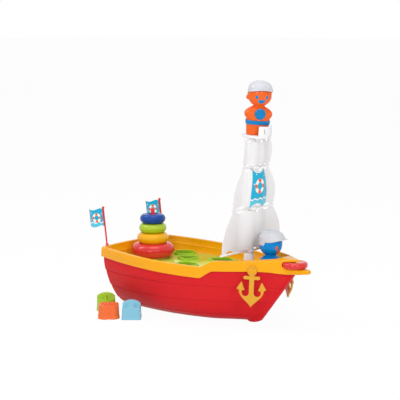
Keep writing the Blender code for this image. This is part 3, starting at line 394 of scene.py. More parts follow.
def carve(made, tool, sharp=35):
    """Cut a closed surface out of a piece, and keep the result as its mesh."""
    guide = solid("guide", tool)
    step = made.modifiers.new("carve", "BOOLEAN")
    step.operation, step.object, step.solver = "DIFFERENCE", guide, "EXACT"
    view = bpy.context.evaluated_depsgraph_get()
    result = bpy.data.meshes.new_from_object(made.evaluated_get(view))
    made.modifiers.clear()
    made.data = result
    bpy.data.objects.remove(guide)
    tidy(made.data, sharp)
    return made


def dress(made, paint, body, *nodes, slot=None):
    """Give a piece its finish and its body, and let it stand for its CAD nodes."""
    made.data.materials.clear()
    made.data.materials.append((PAINTS[paint] if isinstance(paint, str) else paint).material)
    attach(made, body)
    if nodes:
        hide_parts(*nodes)
    print(made.name, len(made.data.vertices), "points on", body)
    return made

# %% [markdown]
# The camera, the floor and the light
#
# The photograph looks at the boat from 42 degrees forward of its starboard beam and a little
# above, with a long lens. The light is plain and soft: two windows in front, which give each
# ring its pair of bright spots, a high one on the left, and a wide one overhead that fills
# the tub.


# %% Camera at the photograph's angle
AZIMUTH, DIP = math.radians(42), math.radians(8.2)
LOOK = Vector((-math.sin(AZIMUTH) * math.cos(DIP), math.cos(AZIMUTH) * math.cos(DIP), -math.sin(DIP)))
camera = bpy.data.objects.new("camera", bpy.data.cameras.new("camera"))
camera.data.lens, camera.data.sensor_width = 117.0, 36.0
camera.data.clip_start, camera.data.clip_end = 0.1, 60.0
camera.location = (2.15095, -2.44854, 0.76528)
camera.rotation_mode = "QUATERNION"
camera.rotation_quaternion = LOOK.to_track_quat("-Z", "Y")
bpy.context.scene.collection.objects.link(camera)
bpy.context.scene.camera = camera
bpy.context.scene.view_settings.view_transform = "Standard"
print("camera", tuple(camera.location))


# %% Floor, world and lamps
def shown_white(finish):
    """1 for what the camera sees directly, in a mirror or through glass, and 0 for light."""
    path = finish.node("ShaderNodeLightPath")
    rays = ("Is Camera Ray", "Is Glossy Ray", "Is Transmission Ray")
    seen = [Value(finish, path.socket.node.outputs[ray]) for ray in rays]
    return seen[0].most(seen[1]).most(seen[2])


def studio_floor():
    """A wide pale sheet under the boat that shows as white and keeps a faint shadow."""
    finish = Finish("floor_paper")
    finish.set(Base_Color="F8F8F8", Roughness=0.7)
    shown = shown_white(finish) * FLOOR_GLOW
    glow = finish.node("ShaderNodeEmission", {}, {"Color": (1, 1, 1, 1), "Strength": 1.0})
    blend = finish.node("ShaderNodeMixShader", {}, {0: shown, 2: glow})
    finish.tree.links.new(finish.shader.outputs[0], blend.socket.node.inputs[1])
    finish.tree.links.new(blend.socket, finish.tree.nodes["Material Output"].inputs["Surface"])
    reach, under = 30.0, -0.0006
    corners = [(x * reach, y * reach, under) for x, y in ((-1, -1), (1, -1), (1, 1), (-1, 1))]
    mesh = bpy.data.meshes.new("floor")
    mesh.from_pydata(corners, [], [(0, 1, 2, 3)])
    mesh.materials.append(finish.material)
    floor = bpy.data.objects.new("floor", mesh)
    bpy.context.scene.collection.objects.link(floor)


def studio_world():
    """White where it is seen, and a plainer level where it only lights."""
    world = bpy.data.worlds.new("studio")
    bpy.context.scene.world = world
    world.use_nodes = True
    finish = Finish("studio", world.node_tree)
    background = finish.tree.nodes["Background"]
    level = shown_white(finish) * (1 - WORLD_LEVEL) + WORLD_LEVEL
    finish.tree.links.new(level.socket, background.inputs["Strength"])
    background.inputs["Color"].default_value = (1, 1, 1, 1)


def lamp(name, bearing, height, size, power, distance=2.6):
    """A soft window of light, at a bearing off the camera's side and a height in degrees."""
    toward = Matrix.Rotation(math.radians(bearing), 3, "Z") @ -Vector((LOOK.x, LOOK.y, 0)).normalized()
    rise = math.radians(height)
    place = MIDDLE + (toward * math.cos(rise) + Vector((0, 0, math.sin(rise)))) * distance
    data = bpy.data.lights.new(name, "AREA")
    data.shape, data.size, data.size_y, data.energy = "RECTANGLE", *size, power
    made = bpy.data.objects.new(name, data)
    made.location = place
    made.rotation_mode = "QUATERNION"
    made.rotation_quaternion = (MIDDLE - place).to_track_quat("-Z", "Y")
    bpy.context.scene.collection.objects.link(made)


MIDDLE, WORLD_LEVEL, FLOOR_GLOW = Vector((-0.05, 0.0, 0.20)), 0.53, 0.955
studio_floor()
studio_world()
lamp("left_window", -14, 18, (0.28, 0.38), 12.0)
lamp("right_window", 24, 18, (0.28, 0.38), 12.0)
lamp("high_window", -96, 48, (0.36, 1.0), 14.0)
lamp("top_window", 20, 80, (1.6, 1.6), 23.0)
print("lamps stand round", tuple(round(v, 2) for v in MIDDLE))

# %% [markdown]
# The boat's plan and sheer
#
# Seen from above the boat is a blunt stern with round corners, sides that are widest a third
# of the way forward, and a pointed bow. Seen from the side its rim sinks to the waist, steps
# up, and rises to the bow. Both the hull and the tub follow these two rules, so they are
# written once, as functions of a station from stern to bow.

# %% Stations and outlines
STERN_X, RIM_BOW_X, HALF_BEAM, WIDEST = -0.301, 0.270, 0.155, 0.36
STERN_SAG, CORNER_R = 0.012, 0.012
STEP_LOW_X, STEP_HIGH_X = 0.059, 0.088
DISC_X, DISC_Z, DISC_H, DISC_R = 0.254, 0.162, 0.0155, 0.032
SLOT_GAP, LIP_H = 0.0008, 0.0085
LIP_UNDER_Z = DISC_Z - DISC_H / 2 - SLOT_GAP - LIP_H


def fullness(t):
    """Share of the half-beam at a share t of the length.

    Aft of the widest place it falls off by 0.19 with the power 1.9 of the distance; forward
    of it, it is a parabola that ends at the bow."""
    t = np.asarray(t, float)
    aft = 1 - 0.19 * np.maximum((WIDEST - t) / WIDEST, 0) ** 1.9
    fore = np.maximum(1 - np.maximum((t - WIDEST) / (1 - WIDEST), 0) ** 2, 0)
    return np.where(t < WIDEST, aft, fore)


def rim_breadth(x):
    """Half-breadth of the rim at a station; 0 ahead of the bow."""
    return HALF_BEAM * fullness((x - STERN_X) / (RIM_BOW_X - STERN_X))


def stations(first_x, last_x, aft=64, step=14, fore=64):
    """Lengthwise places of the sides' columns, close together at the rim's step and the bow."""
    eased = 1 - (1 - np.linspace(0, 1, fore)) ** 1.6
    return np.concatenate([np.linspace(first_x, STEP_LOW_X - 0.008, aft, endpoint=False),
                           np.linspace(STEP_LOW_X - 0.008, STEP_HIGH_X + 0.008, step, endpoint=False),
                           STEP_HIGH_X + 0.008 + (last_x - STEP_HIGH_X - 0.008) * eased])


def half_plan(stern_x, bow_x, beam, last_x, tip_x, shares=None):
    """Starboard half of an outline: bowed transom, a quarter round corner, the side, the tip."""
    def breadth(x):
        return beam * fullness((x - stern_x) / (bow_x - stern_x))
    first_x = stern_x + STERN_SAG + CORNER_R
    straight = breadth(first_x) - CORNER_R
    k = np.linspace(0, 1, 14, endpoint=False)
    transom = np.stack([stern_x + STERN_SAG * k ** 2, -straight * k], -1)
    turn = np.linspace(0, np.pi / 2, 12, endpoint=False)
    corner = np.stack([first_x - CORNER_R * np.cos(turn), -straight - CORNER_R * np.sin(turn)], -1)
    xs = stations(first_x, last_x) if shares is None else first_x + (last_x - first_x) * shares
    sides = np.stack([xs, -breadth(xs)], -1)
    return np.concatenate([transom, corner, sides, [[tip_x, 0.0]]])


def across_edge(outline):
    """Unit normals of a closed outline in its plane, on the right of its direction."""
    ahead = np.roll(outline, -1, 0) - np.roll(outline, 1, 0)
    return np.column_stack([ahead[:, 1], -ahead[:, 0]]) / np.linalg.norm(ahead, axis=1)[:, None]


def at_height(outline, z):
    """A plan outline as points at a height."""
    return np.column_stack([outline, np.full(len(outline), z)])


def both_sides(half):
    """Closed loop from a starboard half whose ends lie on the centre line."""
    return np.concatenate([half, half[-2:0:-1] * (1, -1, 1)])


def sheer(x):
    """Height of the rim: it sinks to the waist, steps up and rises to the bow."""
    x = np.asarray(x, float)
    aft = 0.149 + 0.010 * (STEP_LOW_X - x) / (STEP_LOW_X - STERN_X)
    rise = 0.149 + 0.017 * (x - STEP_LOW_X) / (STEP_HIGH_X - STEP_LOW_X)
    share = np.clip((x - STEP_HIGH_X) / (RIM_BOW_X - STEP_HIGH_X), 0, 1)
    fore = 0.166 + 0.010 * share ** 1.2
    return np.where(x <= STEP_LOW_X, aft, np.where(x < STEP_HIGH_X, rise, fore))


def rim_height(x):
    """The sheer with the corners of its step rounded: an average over 8 mm of the length."""
    reach = np.linspace(-0.004, 0.004, 9)
    return np.mean([sheer(np.asarray(x) + r) for r in reach], axis=0)


def ease(x, low, high):
    """0 below low, 1 above high, an even ease between."""
    t = np.clip((np.asarray(x, float) - low) / (high - low), 0, 1)
    return t * t * (3 - 2 * t)


def skirt_height(x):
    """How far the outer band hangs below the rim."""
    x = np.asarray(x, float)
    aft = 0.028 - 0.003 * np.clip((STEP_LOW_X - x) / (STEP_LOW_X - STERN_X), 0, 1)
    fore = 0.028 - 0.0025 * np.clip((x - STEP_LOW_X) / 0.02, 0, 1)
    nose = ease(x, 0.16, RIM_BOW_X)
    return np.where(x <= STEP_LOW_X, aft, fore * (1 - nose) + 0.032 * nose) + 0.0037 * ease(x, 0.205, 0.262)


RIM_X = half_plan(STERN_X, RIM_BOW_X, HALF_BEAM, RIM_BOW_X - 0.008, RIM_BOW_X)[:, 0]
print(len(RIM_X), "stations; the rim is", float(rim_height(0.0)), "m high amidships")

# %% [markdown]
# The hull
#
# The real hull is one red shell, moulded to look like three lapped planks over a flat
# bottom. Each plank stands a little over the next one down. A loft fits: one loop for each
# height, with the loop's beam swelling by the overlap at the foot of each plank.

# %% Hull surface
LAP, GROOVE, LAPS, STEM_FOOT_X = 0.0018, 0.0007, (0.0, 0.021, 0.058, 0.099), 0.1310


def stem_x(z):
    """Forward edge of the stem: a straight rake of 0.80 of the height.

    Below 16 mm it is drawn back by up to 22 mm with the square of the missing height."""
    z = np.clip(z, 0, 0.1455)
    return STEM_FOOT_X + 0.0142 + 0.80 * z - 0.0220 * (1 - np.clip(z / 0.016, 0, 1)) ** 2


def hull_beam(z):
    """Half-beam at a height: 60 mm at the flat bottom, then a round bilge."""
    bilge = (1 - (1 - np.minimum(z / 0.126, 1)) ** 1.5) ** 0.55
    return 0.060 + 0.0905 * bilge


def hull_top(x):
    """Upper edge of the hull, hidden behind the yellow band."""
    under = np.minimum(sheer(x) - 0.0095, 0.147)
    nose = ease(x, 0.165, 0.200)
    return under * (1 - nose) + (LIP_UNDER_Z - 0.0003) * nose


HULL_FIRST = STERN_X + 0.005 + STERN_SAG + CORNER_R
HULL_LAST = float(stem_x(0.15)) - 0.009
HULL_SHARES = (stations(HULL_FIRST, HULL_LAST) - HULL_FIRST) / (HULL_LAST - HULL_FIRST)


def hull_loop(z, proud=0.0, inward=0.0, top=None):
    """The hull's loop at a height; above the last lap, top carries it up to the edge."""
    stern = STERN_X + 0.005 + 0.013 * (1 - z / 0.126) + inward
    bow = float(stem_x(z)) - 0.005 - inward * 2.2
    half = half_plan(stern, bow, float(hull_beam(z)) + proud - inward, bow - 0.004 - inward, bow, HULL_SHARES)
    height = np.full(len(half), z) if top is None else LAPS[-1] + (hull_top(RIM_X) - LAPS[-1]) * top
    rocker = 0.0035 * ease(half[:, 0], 0.02, 0.10) * max(1 - z / 0.04, 0.0)
    return both_sides(np.column_stack([half, height + rocker]))


def hull_rings():
    """Loops up the outside, plank by plank, over the edge and down the inside."""
    rings = []
    for low, high in zip(LAPS, LAPS[1:]):
        if low == 0:
            rings += [hull_loop(z) for z in (0.0, 0.0015, 0.004, 0.007, 0.011, 0.0155)]
        else:
            rings += [hull_loop(low, -GROOVE * 0.6), hull_loop(low + 0.0003, LAP * 0.75)]
            rings += [hull_loop(low + (high - low) * s, LAP * (1 - s) ** 0.8)
                      for s in (0.02, 0.06, 0.2, 0.4, 0.6, 0.8)]
        rings += [hull_loop(high - 0.0022, 0.0), hull_loop(high - 0.0014, -GROOVE),
                  hull_loop(high - 0.0004, -GROOVE)]
    rings += [hull_loop(LAPS[-1], -GROOVE * 0.6), hull_loop(LAPS[-1] + 0.0003, LAP * 0.75),
              hull_loop(LAPS[-1] + 0.001, LAP)]
    for z, proud, top in ((0.110, 0.7, 0.2), (0.122, 0.3, 0.45), (0.130, 0.0, 0.75), (0.145, -0.3, 1.0)):
        rings.append(hull_loop(z, LAP * proud, 0.0, top))
    rings += [hull_loop(0.145, 0.0, 0.0025, 1.0), hull_loop(0.122, 0.0, 0.0025, 0.45)]
    rings += [hull_loop(z, 0.0, 0.003) for z in (0.099, 0.060, 0.030, 0.012, 0.0025)]
    return np.array(rings)


def stem_post():
    """The bar along the bow's edge: its side view carried across in nine round-edged layers."""
    heights = np.array([0.1440, *np.linspace(0.132, 0.018, 22)])
    outer = np.column_stack([stem_x(heights), heights])
    turn = np.radians(np.linspace(-14, -150, 16))
    foot = np.column_stack([STEM_FOOT_X - 0.0125 + np.where(np.cos(turn) > 0, 0.0360, 0.0115) * np.cos(turn),
                            0.0140 + 0.0140 * np.sin(turn)])
    inner = np.array([(float(stem_x(z)) - 0.016, z + 0.004) for z in (0.020, 0.052, 0.10)]
                     + [(float(stem_x(0.1440)) - 0.012, 0.1440)])
    side_view = np.concatenate([outer, foot, inner])
    drop = np.array([1.0] * (len(outer) + len(foot)) + [0.0] * 4)
    inward = across_edge(side_view)
    centre = side_view.mean(0)
    inward *= np.sign(np.sum(inward * (centre - side_view), 1))[:, None]
    rings = []
    for angle in np.radians(np.linspace(-90, 90, 9)):
        y = 0.0033 * np.sign(angle) + 0.0022 * math.sin(angle)
        moved_in = side_view + inward * (0.0022 * (1 - math.cos(angle)) * drop)[:, None]
        moved_in[:, 1] = np.minimum(moved_in[:, 1], 0.1440)
        rings.append(np.column_stack([moved_in[:, 0], np.full(len(moved_in), y), moved_in[:, 1]]))
    return lofted(np.array(rings))


hull = solid("hull_shell", together(lofted(hull_rings()), stem_post()), sharp=50)
hull_paint = Finish("hull_red")
z = hull_paint.split(hull_paint.place())[2]
# Painted shade: a thin darker red line just under each lap, where the plank above shades the one below.
off = [abs(z - lap + 0.0006) for lap in LAPS[1:]]
lap_shade = off[0].least(off[1]).least(off[2]).below(0.0009, 0.0009)
flow = hull_paint.mix(hull_paint.noise(7.0, 3.0), "D0242A", RED)
hull_paint.set(Base_Color=hull_paint.mix(lap_shade * 0.28, flow, "8E1418"), Specular_IOR_Level=0.06,
               Roughness=hull_paint.uneven(0.40, 25.0, 0.12))
hull_paint.relief(hull_paint.noise(420.0, 2.0), 0.00008)
dress(hull, hull_paint, "boat", "hull", slot="red_plastic")

# %% [markdown]
# The tub
#
# The yellow tub is a second moulding: a round rim, a band that hangs outside the hull, inner
# walls in three narrow steps like planking, and a flat floor. It is lofted too, but this
# time the loops run along its section: down the underside, round the band and the rim, and
# down the steps to the floor.

# %% Tub surface
RIM_WIDTH, FLOOR_Z, PLANKS, PLANK_LEAN, PLANK_STEP = 0.011, 0.104, 3, 0.0012, 0.0025
NOSE_X, FLOOR_END_X, FLOOR_BOW_X, END_BOW, WALL = 0.2165, 0.197, 0.218, 0.0008, 0.003
FLOOR_INSET = RIM_WIDTH + PLANKS * PLANK_LEAN + (PLANKS - 1) * PLANK_STEP


def tub_loop(inset, height, rise=0.0, lean=0.0, foot=None):
    """One loop of the tub, inset from the rim's outline.

    foot runs from 0 at the rim to 1 at the floor, and draws the bow end in to the floor."""
    if foot is None:
        bow, last, tip = RIM_BOW_X - 1.55 * inset, RIM_BOW_X - 0.008 - 1.3 * inset, RIM_BOW_X - 1.55 * inset
    else:
        bow = (RIM_BOW_X - 1.55 * RIM_WIDTH) * (1 - foot) + FLOOR_BOW_X * foot
        last = NOSE_X * (1 - foot) + FLOOR_END_X * foot + lean
        tip = last + END_BOW
    half = half_plan(STERN_X + inset, bow, HALF_BEAM - inset, last, tip)
    return both_sides(np.column_stack([half, height + rise]))


def tub_rings():
    """Underside, band, rim and stepped walls, with a round of small loops at each edge."""
    rim, band = rim_height(RIM_X), rim_height(RIM_X) - skirt_height(RIM_X)
    floor = np.full(len(RIM_X), FLOOR_Z)
    rings = [tub_loop(FLOOR_INSET - WALL, floor, -WALL, WALL, 1.0),
             tub_loop(RIM_WIDTH - WALL, rim, -WALL, WALL, 0.0),
             tub_loop(WALL, rim, -WALL)]
    for turn in np.radians((0, -30, -60, -90, -120, -150, -180)):
        rings.append(tub_loop(0.0003 + 0.0015 * math.cos(turn), band, 0.0015 + 0.0015 * math.sin(turn)))
    for turn in np.radians(np.linspace(180, 90, 8)):
        rings.append(tub_loop(0.003 + 0.003 * math.cos(turn), rim, -0.003 + 0.003 * math.sin(turn)))
    rings.append(tub_loop(RIM_WIDTH - 0.0035, rim))
    for turn in np.radians(np.linspace(90, 15, 6)):
        rings.append(tub_loop(RIM_WIDTH - 0.002 + 0.002 * math.cos(turn), rim,
                              -0.002 + 0.002 * math.sin(turn), 0.0, 0.0))
    inset = RIM_WIDTH
    for plank in range(PLANKS):
        top, bottom = plank / PLANKS, (plank + 1) / PLANKS
        if plank:
            rings.append(tub_loop(inset - 0.0007, rim * (1 - top) + floor * top, 0.0, 0.0, top))
            rings.append(tub_loop(inset - 0.0001, rim * (1 - top) + floor * top, -0.0004, 0.0, top))
        else:
            rings.append(tub_loop(inset, rim * (1 - top) + floor * top, -0.003, 0.0, top))
        inset += PLANK_LEAN
        near = bottom - 0.012
        rings.append(tub_loop(inset, rim * (1 - near) + floor * near, 0.0, 0.0, near))
        rings.append(tub_loop(inset + 0.0005, rim * (1 - bottom) + floor * bottom, 0.0, 0.0, bottom))
        inset += PLANK_STEP
    return np.array(rings)


def bow_lip():
    """The lower lip under the bow disc: its plan drawn in eight round-edged layers."""
    low, high, root = LIP_UNDER_Z, LIP_UNDER_Z + LIP_H, 0.2135
    x = np.linspace(root, 0.295, 40)
    beak = 0.008 + 0.030 * ((0.301 - x) / (0.301 - root)) ** 1.15
    y = np.maximum(beak, np.where(x < 0.24, rim_breadth(x) - 0.001, 0.0))
    turn = np.radians(np.linspace(80, 0, 8, endpoint=False))
    nose = np.column_stack([0.2945 + 0.0065 * np.cos(turn), -0.0085 * np.sin(turn)])
    half = np.concatenate([[(root, 0.0)], np.column_stack([x, -y]), nose, [(0.301, 0.0)]])
    loop = both_sides(np.column_stack([half, np.zeros(len(half))]))[:, :2]
    deeper = 0.0040 * ease(loop[:, 0], root, 0.245) * (1 - 0.75 * ease(loop[:, 0], 0.272, 0.301))
    rings = []
    for angle in np.radians((-90, -60, -30, 0, 0, 30, 60, 90)):
        middle = low - deeper + 0.003 if len(rings) < 4 else high - 0.003
        pull = 1 - 0.003 * (1 - math.cos(angle)) / np.maximum(np.hypot(loop[:, 0] - 0.25, loop[:, 1]), 0.01)
        rings.append(np.column_stack([0.25 + (loop[:, 0] - 0.25) * pull, loop[:, 1] * pull,
                                      np.zeros(len(loop)) + (middle + 0.003 * math.sin(angle))]))
    return lofted(np.array(rings))


MAST_FRAME = Matrix.Translation((0.1055, 0, FLOOR_Z)) @ Matrix.Rotation(math.radians(4.2), 4, "Y")
slot_low, slot_high = DISC_Z - DISC_H / 2 - SLOT_GAP, DISC_Z + DISC_H / 2 + SLOT_GAP
slot_round = 0.0072
slot_half = DISC_H / 2 + SLOT_GAP - slot_round
slot_edge = [(DISC_R + 0.0012 - slot_round + slot_round * math.cos(t),
              DISC_Z + slot_half * math.copysign(1, t) + slot_round * math.sin(t))
             for t in np.radians((-90, -70, -50, -30, -12, 12, 30, 50, 70, 90))]
disc_slot = revolved([(0, slot_low), *slot_edge, (0, slot_high)], 96, Matrix.Translation((DISC_X, 0, 0)))
slot_points, slot_faces = np.array(disc_slot[0]), disc_slot[1]
slot_share = 0.22 + 0.78 * ease(slot_points[:, 0], DISC_X - 0.034, DISC_X + 0.012)
slot_points[:, 2] = np.maximum(slot_points[:, 2], DISC_Z - (DISC_Z - slot_low) * slot_share)
disc_slot = (slot_points, slot_faces)
FOOT_R = 0.0127
socket_profile = [(FOOT_R + 0.0003, -0.0015), (0.0162, -0.0015), (0.0162, 0.0075), (0.0158, 0.0086),
                  (0.0152, 0.009), (FOOT_R + 0.0008, 0.009), (FOOT_R + 0.0003, 0.0084)]
print("the lip lies between", round(LIP_UNDER_Z, 4), "and", round(LIP_UNDER_Z + LIP_H, 4))

# %% Cut the bow slot and seat the lip and the mast's socket
hoop = tub_rings()
flare = 0.0045 * ease(hoop[..., 0], 0.196, 0.232) * (1 - ease(hoop[..., 2], DISC_Z - 0.008, DISC_Z + 0.002))
hoop[..., 1] += flare * np.clip(hoop[..., 1] / 0.008, -1, 1)
tub = solid("tub_moulding", banded(hoop), sharp=40)
carve(tub, disc_slot, sharp=40)
collar = moved(hooped(spun(socket_profile, 64)), MAST_FRAME)
extras = solid("tub_extras", together(bow_lip(), collar), sharp=40)
dress(extras, "yellow", "boat", slot="yellow_plastic")

# %% [markdown]
# The tub's finish
#
# Inside the tub the real yellow looks deeper and more orange, because light bounces between
# yellow walls, while the rim catches a pale shine. The bounce comes by itself from the renderer;
# painted bounce light, a colour deeper and more orange towards the floor, helps it in flat light.

# %% Inner walls with painted bounce light
tub_paint = Finish("tub_yellow_painted_bounce")
z = tub_paint.split(tub_paint.place())[2]
depth = ((0.140 - z) * (1 / 0.03)).least(1.0).most(0.0)
# Painted bounce light: the yellow turns deeper and more orange towards the floor.
shade = tub_paint.mix(depth * 0.6, YELLOW, "FFAC20")
tub_paint.set(Base_Color=tub_paint.mix(tub_paint.noise(8.0) * 0.25, shade, "F2A010"),
              Roughness=tub_paint.uneven(0.20, 30.0, 0.08), Specular_IOR_Level=0.2)
tub_paint.relief(tub_paint.noise(650.0, 1.0), 0.00006)
dress(tub, tub_paint, "boat", "gunwale_tub", slot="yellow_plastic")

# %% [markdown]
# The sorter deck
#
# A green lid rests on the tub's floor. Round each hole stands a raised lip, and the holes go
# right through to the hold. The plate is a loft of the lid's outline; each lip is a small
# section carried round the hole's shape, inside wall and all, so that the cut is clean.

# %% Shapes of the holes and blocks
DECK_TOP, BLOCK_HALF, CLOVER_R = 0.121, 0.0245, 0.0276
STACK_X, SPINDLE_TOP = -0.2225, 0.2542
HOLES = (("round", -0.192, 0.092, 0.0), ("triangle", -0.134, 0.040, math.radians(-57)),
         ("clover", -0.074, -0.036, 0.0), ("square", -0.044, 0.076, math.radians(-32)))


def sorter_shape(kind, grow, count=96):
    """Outline of a sorter shape, grown outwards by a distance, as points round it.

    Round: a circle. Square: a superellipse-cornered square. Triangle: three arcs and their
    tangents. Clover: a circle whose radius swells four times."""
    a = np.linspace(0, 2 * np.pi, count, endpoint=False)
    if kind == "round":
        r = np.full(count, BLOCK_HALF + grow)
    elif kind == "clover":
        r = CLOVER_R * (1 - 0.12 * np.cos(4 * a) - 0.04 * np.cos(8 * a)) + grow
    elif kind == "square":
        half, corner = BLOCK_HALF - 0.0005 + grow, 0.004 + max(grow, 0.0) * 0.8
        return round_corners([(half, -half), (half, half), (-half, half), (-half, -half)], corner, count // 4)
    else:
        reach = 0.0145 * 1.35
        corner = 0.006 + grow
        knots = [(reach * math.cos(t), reach * math.sin(t)) for t in 2 * np.pi * np.arange(3) / 3]
        points = []
        for k, (cx, cy) in enumerate(knots):
            t = 2 * math.pi * k / 3 + np.linspace(-math.pi / 3, math.pi / 3, count // 3)
            points.append(np.column_stack([cx + corner * np.cos(t), cy + corner * np.sin(t)]))
        return np.concatenate(points)
    return np.column_stack([r * np.cos(a), r * np.sin(a)])


def round_corners(knots, radius, per_corner=12):
    """A polygon's outline with each convex corner turned into an arc."""
    knots = np.asarray(knots, float)
    points = []
    for k in range(len(knots)):
        here, back, ahead = knots[k], knots[k - 1], knots[(k + 1) % len(knots)]
        to_back, to_ahead = np.linalg.norm(back - here), np.linalg.norm(ahead - here)
        u, v = (back - here) / to_back, (ahead - here) / to_ahead
        half = math.acos(np.clip(u @ v, -1, 1)) / 2
        reach = min(radius / math.tan(half), to_back * 0.49, to_ahead * 0.49)
        r = reach * math.tan(half)
        bisector = (u + v) / np.linalg.norm(u + v)
        centre = here + bisector * (r / math.sin(half))
        first, last = here + u * reach - centre, here + v * reach - centre
        a0, a1 = math.atan2(first[1], first[0]), math.atan2(last[1], last[0])
        sweep = (a1 - a0 + math.pi) % (2 * math.pi) - math.pi
        t = a0 + sweep * np.linspace(0, 1, per_corner)
        points.append(centre + r * np.column_stack([np.cos(t), np.sin(t)]))
    return np.concatenate(points)


def turned_about(outline, x, y, turn):
    """An outline turned in plan and put at a place."""
    c, s = math.cos(turn), math.sin(turn)
    return outline @ np.array([[c, s], [-s, c]]) + (x, y)


def layered(outline_at, layers):
    """Rings from (grow, height) layers of an outline that can be grown."""
    return np.array([at_height(outline_at(grow), z) for grow, z in layers])


# %% Deck plate and hole lips
def deck_outline(inset):
    """The lid's plan: it follows the foot of the tub's wall and is cut square in front."""
    floor_inset = FLOOR_INSET + 0.003 + inset
    front, r = 0.022 - inset, 0.014

    def breadth(x):
        share = (x - STERN_X - floor_inset) / (FLOOR_BOW_X - STERN_X - floor_inset)
        return (HALF_BEAM - floor_inset) * fullness(share)
    back = -0.276 + inset
    first = back + STERN_SAG + r
    straight = float(breadth(first)) - r
    k = np.linspace(0, 1, 12, endpoint=False)
    transom = np.column_stack([back + STERN_SAG * k ** 2, -straight * k])
    turn = np.linspace(0, np.pi / 2, 10, endpoint=False)
    aft = np.column_stack([first - r * np.cos(turn), -straight - r * np.sin(turn)])
    xs = np.linspace(first, front - r, 60, endpoint=False)
    side_y = float(breadth(front - r)) - r
    turn = np.linspace(np.pi / 2, 0, 10)
    fore = np.column_stack([front - r + r * np.cos(turn), -side_y - r * np.sin(turn)])
    half = np.concatenate([transom, aft, np.column_stack([xs, -breadth(xs)]), fore, [(front + 0.0008, 0.0)]])
    return np.concatenate([half, half[-2:0:-1] * (1, -1)])


HATCH_INSET = 0.0075
hatch = lofted(layered(deck_outline, [(HATCH_INSET, FLOOR_Z - 0.01), (HATCH_INSET, FLOOR_Z + 0.01)]))
carve(tub, hatch, sharp=40)
plate_layers = [(0.003, DECK_TOP - 0.003), (0.003, FLOOR_Z + 0.0003), (0.0, FLOOR_Z + 0.0003),
                (0.0, DECK_TOP - 0.0015), (0.0004, DECK_TOP - 0.0006), (0.0015, DECK_TOP)]
deck = solid("deck_plate", banded(layered(deck_outline, plate_layers)))
lip_section = [(grow, DECK_TOP + up) for grow, up in (
    (0.0012, -0.003), (0.0052, -0.003), (0.0060, 0.0001), (0.0054, 0.0008), (0.0052, 0.0045),
    (0.0048, 0.0056), (0.0040, 0.006), (0.0022, 0.006), (0.0014, 0.0055), (0.0012, 0.0048))]
lips = []
for kind, hx, hy, turn in HOLES:
    def shape(grow, kind=kind, hx=hx, hy=hy, turn=turn):
        return turned_about(sorter_shape(kind, grow), hx, hy, turn)
    carve(deck, lofted(layered(shape, [(0.0022, DECK_TOP - 0.02), (0.0022, DECK_TOP + 0.01)])))
    lips.append(hooped(layered(shape, lip_section)))
seat_profile = [(0, -0.002), (0.040, -0.002), (0.040, 0.0011), (0.0397, 0.0015), (0.0392, 0.0017), (0, 0.0017)]
seat = revolved(seat_profile, 96, Matrix.Translation((STACK_X, 0, DECK_TOP)))
dress(deck, "lime", "deck", "sorter_deck", slot="lime_plastic")
dress(solid("hole_lips", together(*lips)), "lip_lime", "deck", slot="lime_plastic")
dress(solid("stack_seat", seat), "lime", "deck", slot="lime_plastic")

# %% [markdown]
# The ring stack
#
# Four rings lie on a tapered red post. A ring is a circle carried round a circle: a surface
# of two angles. Each ring takes its middle height from the box of its CAD node, and its two
# radii from the table in the cell.

# %% Rings and spindle
def ring_surface(node, outer, tube, around=96, section=40):
    """A torus: the outer radius less the tube's radius, plus the tube's own circle."""
    low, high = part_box(node)
    middle = (low.z + high.z) / 2
    b = np.linspace(0, 2 * np.pi, section, endpoint=False)
    circle = np.column_stack([outer / 2 - tube + tube * np.cos(b), middle + tube * np.sin(b)])
    return hooped(spun(circle, around) + (STACK_X, 0, 0))


RINGS = (("ring_red", 0.1155, 0.0190, "red_plastic"), ("ring_yellow", 0.084, 0.0150, "yellow_plastic"),
         ("ring_green", 0.073, 0.0125, "lime_plastic"), ("ring_blue", 0.068, 0.0125, "deep_blue_plastic"))
for number, (name, outer, tube, slot) in enumerate(RINGS, 1):
    dress(solid(name + "_torus", ring_surface(name, outer, tube)), name, f"ring_{number}", name, slot=slot)
base = DECK_TOP + 0.002
tall = SPINDLE_TOP - base
post = [(0, 0), (0.0125, 0), (0.0125, 0.003), (0.0118, 0.0045), (0.0115, 0.006)]
post += [(0.0115 + (0.0052 - 0.0115) * s, 0.006 + (tall - 0.0135) * s) for s in (0.25, 0.5, 0.75, 1.0)]
post += [(0.0052 * math.cos(t), tall - 0.0075 + 0.0075 * math.sin(t))
         for t in np.radians((15, 30, 45, 60, 75, 90))]
dress(solid("stack_post", revolved(post, 64, Matrix.Translation((STACK_X, 0, base)))), "ring_red", "deck",
      "ring_spindle", slot="red_plastic")

# %% [markdown]
# The mast and its sails
#
# The mast is a plain white tube, thicker up to the lowest sail, that leans a little forward.
# Each sail is a stiff moulded sheet with a bar along its foot. Its middle panel stands forward
# to clear the mast, its edges billow out, and oval openings over the bars let the clips show.

# %% Mast
NEST_UP = 0.3675
mast_top = NEST_UP - 0.003 - 0.0003
tube = [(0, 0.0014), (FOOT_R, 0.0014), (FOOT_R, 0.0655), (FOOT_R - 0.0004, 0.0668), (FOOT_R - 0.0013, 0.0676),
        (0.0102, 0.0680), (0.0100, 0.0683), (0.0100, mast_top - 0.001), (0.0090, mast_top), (0, mast_top)]
dress(solid("mast_tube", revolved(tube, 64, MAST_FRAME)), "white", "boat", "mast", slot="white_plastic")

# %% Sail sheet
YARD_UP, YARD_HALF = (0.077, 0.1845, 0.2868, 0.3575), (0.111, 0.0794, 0.0519, 0.0515)
YARD_R, YARD_AHEAD = 0.0028, 0.003
EDGE_SWELL, BELLY, FLARE = (0.003, 0.003, 0.0055), (0.004, 0.004, 0.002), (0.0145, 0.0145, 0.0060)
CHANNEL, RISE, FLAT, FOOT = 0.0125, 0.006, 0.009, 0.056


